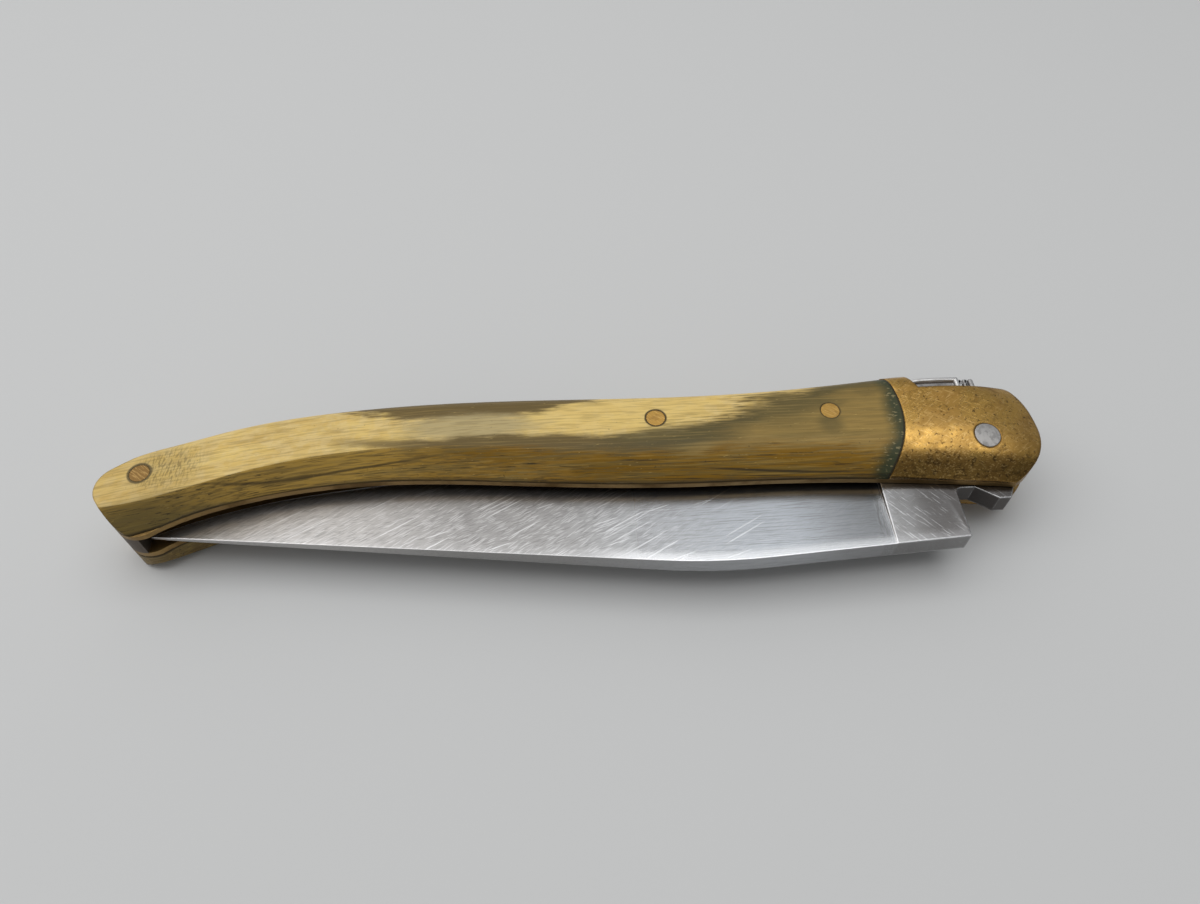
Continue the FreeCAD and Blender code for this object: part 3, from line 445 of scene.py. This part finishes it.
bolster_brass, tree, shader, place = new_material("bolster_brass", metallic=1.0)
along = parts_of(tree, place)
rim = edge(tree, width=0.4)
skin = blotch(tree, place, size=3.4, threshold=0.4, soft=0.22)
freckles = blotch(tree, place, size=0.8, threshold=0.52, soft=0.1)
pits = blotch(tree, place, size=0.42, threshold=0.6, soft=0.05)
scuffs = either(tree, scratch(tree, place, SCUFF_TURN, length=1.3, width=0.17, threshold=0.6),
                scratch(tree, place, CROSS_SCUFF_TURN, length=1.1, width=0.17, threshold=0.61))
length_lines = scratch(tree, place, 0.0, length=3.5, width=0.2, threshold=0.58, soft=0.06)
under_side = ease(tree, along["Y"], *UNDER_SIDE_REACH)
turned_away = ease(tree, work_out(tree, "ABSOLUTE", facing_of(tree)["Z"]), *AWAY_FACING)
smudge = stain(tree, place, (PIVOT.x - 5.6, PIVOT.y + 5.6), (4.4, 3.0), turn=-40.0, soft=0.5, ragged=1.0)
# A painted highlight along the crest.
crest = stain(tree, place, (PIVOT.x - 3.0, PIVOT.y + 0.6), (9.0, 2.6), turn=-3.0, soft=0.6)
# A darker mottled band along the lower side, below the pivot.
lower_dark_band = stain(tree, place, (PIVOT.x - 3.0, PIVOT.y - 3.2), (9.0, 1.4), turn=-3.0, soft=0.6, ragged=1.4)
ring = stain(tree, place, (PIVOT.x, PIVOT.y), (PIVOT_RING, PIVOT_RING), soft=0.05, ragged=0.0)
nose = ease(tree, along["X"], *NOSE_REACH, high=0.8)
colour = lay(
    tree, BRASS,
    (skin, 0.68, BRASS_BROWN),
    (smudge, 0.55, BRASS_BROWN),
    (crest, 0.1, BRASS_RUBBED_AND_HIGHLIGHT),
    (freckles, 0.6, BRASS_BROWN),
    # Painted shade on the lower side and on faces turned away from the top.
    (either(tree, under_side, turned_away), 0.75, BRASS_SHADE),
    (lower_dark_band, between(tree, freckles, 0.3, 0.75), BRASS_DARK),
    (scuffs, 0.45, BRASS_RUBBED_AND_HIGHLIGHT),
    (share(tree, length_lines, under_side), 0.6, BRASS_DARK),
    (pits, 0.75, BRASS_DARK),
    (ring, 0.7, BRASS_DARK),
    # Painted dark reflection on the rounded edges, and a wide band of painted shade round the nose.
    (rim["Mask"], 0.55, BRASS_BROWN),
    (edge(tree, width=1.1)["Mask"], nose, BRASS_SHADE),
)
rough = between(tree, skin, 0.25, 0.38)
relief = work_out(tree, "SUBTRACT", share(tree, scuffs, -0.4), pits)
dress(tree, shader, colour, rough, relief, rim["Normal"], strength=0.3, depth=0.03)
paint(bolster_brass, "right_bolster", "left_bolster", "right_bolster_rivet", "left_bolster_rivet")

# Scales: plates of natural horn, pinned to the liners, crowned and polished by hand.
# Cream at the tail, stained smoke brown along the back, olive towards the bolster, golden on the cut belly.
CREAM = (0.64, 0.46, 0.162, 1.0)
WARM = (0.72, 0.525, 0.177, 1.0)
HONEY = (0.60, 0.39, 0.095, 1.0)
FADED = (0.70, 0.55, 0.27, 1.0)
TAN = (0.44, 0.29, 0.085, 1.0)
STRAW = (0.34, 0.21, 0.045, 1.0)
TAIL_GOLD = (0.37, 0.22, 0.034, 1.0)
SHADED_TAIL_BROWN = (0.11, 0.07, 0.022, 1.0)
GOLD = (0.20, 0.10, 0.004, 1.0)
OLIVE = (0.275, 0.182, 0.05, 1.0)
SMOKE = (0.128, 0.088, 0.029, 1.0)
PALE_GREY = (0.41, 0.33, 0.165, 1.0)
GREEN_GREY = (0.085, 0.068, 0.024, 1.0)
DUSK = (0.175, 0.125, 0.036, 1.0)
JOINT_GREEN = (0.030, 0.042, 0.022, 1.0)
GRIME_AND_SHADE = (0.025, 0.02, 0.012, 1.0)
HORN_SPECULAR = 0.18
MIDDLE_Z = PIVOT.z
BEND_X = -8.4
SAG = 0.0023
FIBRE_PULL = (0.3, 1.0, 1.0)
FRONT_SLANT = 3.0
FRONT_REACH = (-1.0, 8.0)
GLOOM_REACH = (21.0, 8.0)
SMOKE_REACH = (-32.0, -20.0)
CLEAR_REACH = (22.0, 12.0)
TAIL_GOLD_REACH = (-12.0, -30.0)
BELLY_FACING = (-0.14, -0.5)
RIM_DIRT_REACH = (2.95, 2.55)
JOINT_CENTRE = (PIVOT.x - 24.85, PIVOT.y + 5.0)
JOINT_RADIUS = 15.0
JOINT_AHEAD = (JOINT_CENTRE[0], JOINT_CENTRE[0] + 6.0)
SOAK_REACH = (JOINT_RADIUS - 2.8, JOINT_RADIUS - 0.5)
LINE_REACH = (JOINT_RADIUS - 0.35, JOINT_RADIUS - 0.15)
HATCH_TURN = -84.0


def pin_spot(label):
    """The middle of a pin's head and its radius, in millimetres."""
    low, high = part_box(label)
    return ((low.x + high.x) / 2 / MM, (low.y + high.y) / 2 / MM), (high.x - low.x) / 2 / MM


def horn(name, seed, shift, tail_gold):
    """Horn with its stains; the seed moves the fibres and the shift the stains, so the two plates differ."""
    material, tree, shader, place = new_material(name)
    along = parts_of(tree, place)
    facing = facing_of(tree)
    spot = arrow(tree, "ADD", place, (shift, 0.0, 0.0))

    # The fibres bend down with the handle behind its middle.
    behind = work_out(tree, "MINIMUM", work_out(tree, "SUBTRACT", along["X"], BEND_X), 0.0)
    level_y = add(tree, along["Y"], share(tree, behind, behind, SAG))
    level_z = add(tree, along["Z"], seed)
    grain = node(tree, "CombineXYZ", {0: along["X"], 1: level_y, 2: level_z}).outputs[0]
    pulled = arrow(tree, "MULTIPLY", grain, FIBRE_PULL)
    fibres = scratch(tree, grain, 0.0, length=4.0, width=0.25, threshold=0.46, soft=0.16)
    pale_fibres = scratch(tree, grain, 1.0, length=9.0, width=0.24, threshold=0.5, soft=0.2)
    bands = scratch(tree, grain, 0.0, length=18.0, width=0.9, threshold=0.46, soft=0.2)
    cracks = scratch(tree, grain, 1.5, length=9.0, width=0.16, threshold=0.61, soft=0.06)
    nicks = scratch(tree, grain, -7.0, length=1.3, width=0.13, threshold=0.71, soft=0.04)
    clouds = blotch(tree, pulled, size=3.2, threshold=0.36, soft=0.3)
    flecked = blotch(tree, pulled, size=0.9, threshold=0.48, soft=0.15)
    mottle = blotch(tree, grain, size=1.3, threshold=0.42, soft=0.2)
    specks = blotch(tree, grain, size=0.5, threshold=0.66, soft=0.05)
    fray = work_out(tree, "SUBTRACT", clouds, 0.5)

    # The crown: cream and honey, darker to the front, with smoky stains.
    slant = work_out(tree, "SUBTRACT", along["X"], share(tree, along["Y"], FRONT_SLANT))
    slant = add(tree, slant, share(tree, fray, 6.0), share(tree, fibres, 3.0))
    front = ease(tree, slant, *FRONT_REACH)
    gloom = share(tree, front, ease(tree, slant, *GLOOM_REACH))
    colour = lay(
        tree, tint(tree, clouds, CREAM, WARM),
        (bands, 0.4, HONEY),
        (mottle, 0.45, FADED),
        (flecked, 0.35, TAN),
        (front, 1.0, OLIVE),
        (share(tree, bands, front), 0.45, DUSK),
        (gloom, between(tree, fibres, 0.9, 1.0), GREEN_GREY),
        (stain(tree, spot, (4.0, 6.4), (13.0, 3.3), soft=0.25, ragged=0.8), 0.6, WARM),
        (stain(tree, spot, (-54.0, -1.0), (7.0, 4.0), soft=0.6, ragged=0.6), 0.35, TAN),
        (stain(tree, spot, (-14.5, 10.2), (17.0, 3.9), soft=0.14, ragged=0.8), 1.0, SMOKE),
        (stain(tree, spot, (-14.0, 5.0), (8.5, 2.0), soft=0.4, ragged=1.0), 0.9, PALE_GREY),
        (stain(tree, spot, (-5.0, 1.7), (16.0, 1.6), turn=-3.0, soft=0.3, ragged=1.0), 1.0, SMOKE),
        (stain(tree, spot, (-21.0, 2.6), (9.0, 0.7), turn=-5.0, soft=0.5, ragged=0.8), 0.8, SMOKE),
        (stain(tree, spot, (10.0, 2.2), (7.0, 1.3), turn=4.0, soft=0.6, ragged=1.4), 0.85, GREEN_GREY),
        (stain(tree, spot, (28.0, 3.8), (4.5, 3.6), soft=0.6, ragged=0.6), 0.3, DUSK),
        (pale_fibres, 0.12, TAN),
    )

    # The belly: cut across the fibres, golden, with long dark cracks and a rim over the liner darkened by
    # dirt and painted shade.
    smoky = share(tree, ease(tree, along["X"], *SMOKE_REACH), ease(tree, along["X"], *CLEAR_REACH))
    uneven = add(tree, share(tree, smoky, 0.14), share(tree, fray, 0.2), share(tree, fibres, 0.16))
    belly = ease(tree, add(tree, facing["Y"], uneven), *BELLY_FACING)
    gold = tint(tree, ease(tree, along["X"], *TAIL_GOLD_REACH), GOLD, tail_gold)
    gold = lay(tree, gold, (bands, 0.5, DUSK), (pale_fibres, 0.35, STRAW))
    depth = work_out(tree, "ABSOLUTE", work_out(tree, "SUBTRACT", along["Z"], MIDDLE_Z))
    rim_dirt_and_shade = ease(tree, add(tree, depth, share(tree, fray, 0.2)), *RIM_DIRT_REACH)
    colour = lay(
        tree, colour,
        (belly, 0.9, gold),
        # Painted shade, with some dirt, under the lower edge at the tail.
        (stain(tree, spot, (-54.0, -5.6), (8.0, 1.7), turn=14.0, soft=0.7, ragged=0.6), 0.75, GREEN_GREY),
        (fibres, between(tree, belly, 0.28, 0.6), SMOKE),
        (pale_fibres, 0.06, WARM),
        (share(tree, cracks, belly), 0.75, GRIME_AND_SHADE),
        (stain(tree, grain, (-33.0, 1.5), (14.0, 0.1), soft=0.6, ragged=1.6), 0.75, GRIME_AND_SHADE),
        (stain(tree, grain, (26.0, -2.4), (11.0, 0.1), turn=-3.7, soft=0.6, ragged=1.6), 0.75, GRIME_AND_SHADE),
        # The rim over the liner: dirt and painted shade.
        (rim_dirt_and_shade, 0.8, GRIME_AND_SHADE),
        (nicks, 0.35, WARM),
        (specks, 0.5, GRIME_AND_SHADE),
    )

    # Grime around the pins, hatched behind the tail pin and smeared below the front rivet.
    for label, gap, strength in (
        ("tail_pin", 0.3, 0.75),
        ("middle_pin", 0.22, 0.9),
        ("right_front_rivet", 0.14, 0.6),
    ):
        centre, radius = pin_spot(label)
        ring = stain(tree, place, centre, (radius + gap, radius + gap), soft=0.07, ragged=0.1)
        colour = lay(tree, colour, (ring, strength, GRIME_AND_SHADE))
    tail_x, tail_y = pin_spot("tail_pin")[0]
    front_x, front_y = pin_spot("right_front_rivet")[0]
    soil = stain(tree, place, (tail_x + 3.4, tail_y + 0.7), (3.6, 2.8), turn=20.0, soft=0.6, ragged=0.8)
    hatch = scratch(tree, place, HATCH_TURN, length=0.9, width=0.24, threshold=0.44, soft=0.2)
    smear = stain(tree, place, (front_x - 0.3, front_y - 2.0), (1.5, 1.5), soft=0.6, ragged=0.5)
    colour = lay(
        tree, colour,
        (soil, between(tree, hatch, 0.12, 0.55), GREEN_GREY),
        (smear, 0.6, GREEN_GREY),
    )

    # Verdigris from the bolster has soaked into the end of the plate, with pale flecks and a black line.
    arm = arrow(tree, "MULTIPLY", arrow(tree, "SUBTRACT", place, (*JOINT_CENTRE, 0.0)), IN_PLAN)
    out_from = measure(tree, "LENGTH", arm)
    ahead = ease(tree, along["X"], *JOINT_AHEAD)
    soaked = ease(tree, add(tree, out_from, share(tree, fray, 0.9)), *SOAK_REACH)
    flecks = scratch(tree, grain, 0.0, length=0.55, width=0.3, threshold=0.6, soft=0.06)
    rim = edge(tree, width=0.35)
    colour = lay(
        tree, colour,
        (share(tree, soaked, ahead), 0.93, JOINT_GREEN),
        (share(tree, flecks, ease(tree, soaked, 0.1, 0.6), ahead), 0.4, PALE_GREY),
        (share(tree, ease(tree, out_from, *LINE_REACH), ahead), 0.9, GRIME_AND_SHADE),
        (rim["Mask"], 0.4, SMOKE),
    )
    rough = either(tree, between(tree, fibres, 0.4, 0.5), share(tree, rim_dirt_and_shade, 0.85))
    relief = add(tree, share(tree, fibres, 0.4), cracks, nicks)
    shader.inputs["Specular IOR Level"].default_value = HORN_SPECULAR
    dress(tree, shader, colour, rough, share(tree, relief, -1.0), rim["Normal"], strength=0.3, depth=0.05)
    return material


paint(horn("horn_right", seed=0.0, shift=0.0, tail_gold=TAIL_GOLD), "right_scale")
# The left plate's belly is painted a darker brown at the tail: painted shade, low by the table.
paint(horn("horn_left", seed=37.0, shift=11.0, tail_gold=SHADED_TAIL_BROWN), "left_scale")

# Pins and rivets: brass wire through the handle, and a steel pivot, peened over and filed flush.
# Their ends are dull, with file marks, dullest at the tail where the hand rubs least.
PIN = (0.43, 0.252, 0.066, 1.0)
PIN_BROWN = (0.20, 0.118, 0.042, 1.0)
PIVOT_GREY = (0.38, 0.367, 0.354, 1.0)
DULL_REACH = (-20.0, -40.0)
FILE_TURN = 40.0
pin_brass, tree, shader, place = new_material("pin_brass", metallic=1.0)
rim = edge(tree, width=0.14)
files = scratch(tree, place, FILE_TURN, length=1.4, width=0.15, threshold=0.55, soft=0.08)
skin = blotch(tree, place, size=1.0, threshold=0.45, soft=0.2)
at_tail = ease(tree, parts_of(tree, place)["X"], *DULL_REACH)
colour = lay(
    tree, PIN,
    (skin, 0.5, PIN_BROWN),
    (at_tail, 0.95, PIN_BROWN),
    (files, 0.25, BRASS_RUBBED_AND_HIGHLIGHT),
    (rim["Mask"], 0.7, BRASS_DARK),
)
rough = between(tree, skin, 0.36, 0.5)
dress(tree, shader, colour, rough, files, rim["Normal"], strength=0.3, depth=0.02)
paint(pin_brass, "right_front_rivet", "left_front_rivet", "middle_pin", "tail_pin")

pivot_steel, tree, shader, place = new_material("pivot_steel", metallic=1.0)
rim = edge(tree, width=0.15)
peening = blotch(tree, place, size=0.7, threshold=0.42, soft=0.2)
colour = lay(tree, PIVOT_GREY, (peening, 0.4, STEEL_DARK), (rim["Mask"], 0.8, BRASS_DARK))
rough = between(tree, peening, 0.42, 0.58)
dress(tree, shader, colour, rough, peening, rim["Normal"], strength=0.3, depth=0.03)
paint(pivot_steel, "pivot_pin")

# Thumb piece: cast steel on the end of the spring, a long lobe hollowed on each side and a ridged head.
# The thumb pushes against it to close the knife; its edges carry a painted highlight and its hollows painted
# shade.
FLY_LOW, FLY_HIGH = (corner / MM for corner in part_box("spring_fly"))
LOBE_BACK = FLY_LOW.x + 0.4
LOBE_FRONT = FLY_HIGH.x - 2.2
LOBE_TOP = FLY_HIGH.y - 0.35
LOBE_HALF = 2.28
LOBE_CUTS = (0.34, 0.7)
BACK_SHARE = 0.92
FRONT_SHARE = 0.95
CORNER_ROUND = 1.5
CORNER_FACETS = 6
CORNER_NEAR = 1.0
CORNER_SHARP = 1.0
ACROSS_SLACK = 0.4
END_ON = 0.9
SIDE_ON = 0.7
RIM_WIDE = 0.45
HOLLOW_SLOPE = 0.15
HOLLOW_DEEP = 0.55
HOLLOW_REACH = (LOBE_HALF - 0.25, LOBE_HALF - 0.45)
HEAD_FRONT = FLY_HIGH.x - 0.05
HEAD_TOP = FLY_HIGH.y - 0.55
HEAD_HALF = 1.95
RIDGES = 3
RIDGE_LONG = 0.7
RIDGE_STEP = 0.8
RIDGE_ROUND = 0.22
RIDGE_FACETS = 3
SOLE_BACK = FLY_LOW.x + 1.4
SOLE_FRONT = FLY_HIGH.x - 0.3
SOLE_TOP = FLY_LOW.y + 1.5
SOLE_HALF = 1.6
SOLE_ROUND = 0.2
EDGE_ROUND = 0.09
EDGE_FACETS = 2
ROUND_OVER = math.radians(35.0)
SMOOTH_UNDER = math.radians(40.0)
THUMB_GREY = (0.66, 0.65, 0.64, 1.0)


def add_block(back, front, top, half):
    """A block on the knife's middle plane, in millimetres, from the foot of the thumb piece to a height."""
    low = (back, FLY_LOW.y, MIDDLE_Z - half)
    high = (front, top, MIDDLE_Z + half)
    bpy.ops.object.select_all(action="DESELECT")
    bpy.ops.mesh.primitive_cube_add(size=1.0, location=[(a + b) / 2 * MM for a, b in zip(low, high)])
    block = bpy.context.object
    block.scale = [(b - a) * MM for a, b in zip(low, high)]
    bpy.ops.object.transform_apply(location=True, rotation=True, scale=True)
    bpy.ops.object.mode_set(mode="EDIT")
    bpy.ops.mesh.select_all(action="SELECT")
    return block


def choose(block, kind, test):
    """Selects the faces or edges of a block in edit mode by their place and direction."""
    bpy.ops.mesh.select_mode(type=kind)
    bpy.ops.mesh.select_all(action="DESELECT")
    shape = bmesh.from_edit_mesh(block.data)
    for part in (shape.faces if kind == "FACE" else shape.edges):
        part.select_set(test(part))
    shape.select_flush_mode()
    bmesh.update_edit_mesh(block.data)


def back_corner(part):
    """Whether an edge runs across the lobe at the corner above its back end."""
    start, end = (corner.co / MM for corner in part.verts)
    across = abs(start.x - end.x) + abs(start.y - end.y) < ACROSS_SLACK
    sharp = part.calc_face_angle(0.0) > CORNER_SHARP
    return across and sharp and start.y > FLY_LOW.y + CORNER_NEAR and start.x < FLY_LOW.x + CORNER_NEAR


lobe = add_block(LOBE_BACK, LOBE_FRONT, LOBE_TOP, LOBE_HALF)
lobe.name = "thumb_piece"
for cut in LOBE_CUTS:
    bpy.ops.mesh.select_all(action="SELECT")
    cut_x = (FLY_LOW.x + (LOBE_FRONT - FLY_LOW.x) * cut) * MM
    bpy.ops.mesh.bisect(plane_co=(cut_x, 0.0, 0.0), plane_no=(1.0, 0.0, 0.0))
choose(lobe, "FACE", lambda face: face.normal.x < -END_ON)
bpy.ops.transform.resize(value=(1.0, 1.0, BACK_SHARE), center_override=(0.0, 0.0, MIDDLE_Z * MM))
choose(lobe, "FACE", lambda face: face.normal.x > END_ON)
bpy.ops.transform.resize(value=(1.0, 1.0, FRONT_SHARE), center_override=(0.0, 0.0, MIDDLE_Z * MM))
choose(lobe, "EDGE", back_corner)
bpy.ops.mesh.bevel(offset=CORNER_ROUND * MM, segments=CORNER_FACETS, affect="EDGES", clamp_overlap=True)
choose(lobe, "FACE", lambda face: abs(face.normal.z) > SIDE_ON)
bpy.ops.mesh.inset(thickness=RIM_WIDE * MM, depth=0.0)
bpy.ops.mesh.inset(thickness=HOLLOW_SLOPE * MM, depth=-HOLLOW_DEEP * MM)
bpy.ops.object.mode_set(mode="OBJECT")

ridge = add_block(HEAD_FRONT - RIDGE_LONG, HEAD_FRONT, HEAD_TOP, HEAD_HALF)
bpy.ops.mesh.bevel(offset=RIDGE_ROUND * MM, segments=RIDGE_FACETS, affect="EDGES")
for _ in range(RIDGES - 1):
    bpy.ops.mesh.duplicate_move(TRANSFORM_OT_translate={"value": (-RIDGE_STEP * MM, 0.0, 0.0)})
bpy.ops.object.mode_set(mode="OBJECT")

sole = add_block(SOLE_BACK, SOLE_FRONT, SOLE_TOP, SOLE_HALF)
bpy.ops.mesh.bevel(offset=SOLE_ROUND * MM, segments=EDGE_FACETS, affect="EDGES")
bpy.ops.object.mode_set(mode="OBJECT")

for block in (ridge, sole, lobe):
    block.select_set(True)
bpy.context.view_layer.objects.active = lobe
bpy.ops.object.join()
thumb_piece = bpy.context.object
rounding = thumb_piece.modifiers.new("soft_edges", "BEVEL")
rounding.width = EDGE_ROUND * MM
rounding.segments = EDGE_FACETS
rounding.angle_limit = ROUND_OVER
bpy.ops.object.modifier_apply(modifier=rounding.name)
bpy.ops.object.shade_smooth_by_angle(angle=SMOOTH_UNDER)

thumb_steel, tree, shader, place = new_material("thumb_steel", metallic=1.0)
rim = edge(tree, width=0.25)
lines = scratch(tree, place, POLISH_TURN, length=2.4, width=0.16, threshold=0.52, soft=0.1)
dirt = blotch(tree, place, size=0.8, threshold=0.46, soft=0.2)
off_middle = work_out(tree, "SUBTRACT", parts_of(tree, place)["Z"], MIDDLE_Z)
hollow = ease(tree, work_out(tree, "ABSOLUTE", off_middle), *HOLLOW_REACH)
colour = lay(
    tree, THUMB_GREY,
    (lines, 0.2, STEEL_DARK),
    (dirt, 0.25, STEEL_DARK),
    # Painted shade in the hollows and a painted highlight on the edges.
    (hollow, 0.75, FORGE_BLACK_AND_SHADE),
    (rim["Mask"], 0.5, STEEL_BRIGHT),
)
rough = between(tree, dirt, 0.42, 0.6)
dress(tree, shader, colour, rough, lines, rim["Normal"], strength=0.2, depth=0.02)
thumb_piece.data.materials.append(thumb_steel)
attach(thumb_piece, "handle")
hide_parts("spring_fly")

# Table, light and camera: a pale painted table top, which is no part of the knife.
# A long soft lamp hangs over it, and the room glows, most at a window behind and to the left.
# The camera looks down on the knife from the blade's side.
TABLE_PAINT = (0.56, 0.565, 0.565, 1.0)
TABLE_SIZE = 4.0
TABLE_ROUGH = 0.8
WINDOW_WARM = (1.0, 0.98, 0.965, 1.0)
WINDOW_COOL = (0.93, 0.97, 1.0, 1.0)
WINDOW_REACH = (-0.6, 0.5)
WINDOW_GLOW = (0.45, 0.77)
WINDOW_END = (0.2, 0.36)
WINDOW_END_GLOW = (1.0, 0.45)
WINDOW_HUE_REACH = (-0.3, 0.3)
LAMP_LONG = 1.0
LAMP_WIDE = 0.42
LAMP_AT = (-0.19, 0.06, 0.45)
LAMP_ENERGY = 1.86
EYE = Vector((-1.229, -62.525, 100.49)) * MM
AIM = Vector((2.894, 9.036, 0.0)) * MM
LENS = 26.04
NEAREST = 0.005

bpy.ops.object.select_all(action="DESELECT")
bpy.ops.mesh.primitive_plane_add(size=TABLE_SIZE)
table = bpy.context.object
table.name = "table"
table_paint, tree, shader, place = new_material("table_paint")
shader.inputs["Base Color"].default_value = TABLE_PAINT
shader.inputs["Roughness"].default_value = TABLE_ROUGH
table.data.materials.append(table_paint)

world = bpy.data.worlds.new("room")
bpy.context.scene.world = world
world.use_nodes = True
tree = world.node_tree
side = parts_of(tree, node(tree, "TexCoord").outputs["Generated"])
window = share(tree, ease(tree, side["Y"], *WINDOW_REACH, *WINDOW_GLOW),
               ease(tree, side["X"], *WINDOW_END, *WINDOW_END_GLOW))
hue = tint(tree, ease(tree, side["X"], *WINDOW_HUE_REACH), WINDOW_WARM, WINDOW_COOL)
tree.links.new(window, tree.nodes["Background"].inputs["Strength"])
tree.links.new(hue, tree.nodes["Background"].inputs["Color"])

bpy.ops.object.light_add(type="AREA", location=LAMP_AT)
lamp = bpy.context.object
lamp.data.shape = "RECTANGLE"
lamp.data.size = LAMP_LONG
lamp.data.size_y = LAMP_WIDE
lamp.data.energy = LAMP_ENERGY

bpy.ops.object.camera_add(location=EYE)
camera = bpy.context.object
camera.rotation_euler = (AIM - EYE).to_track_quat("-Z", "Y").to_euler()
camera.data.lens = LENS
camera.data.clip_start = NEAREST
bpy.context.scene.camera = camera
bpy.context.scene.view_settings.view_transform = "Standard"
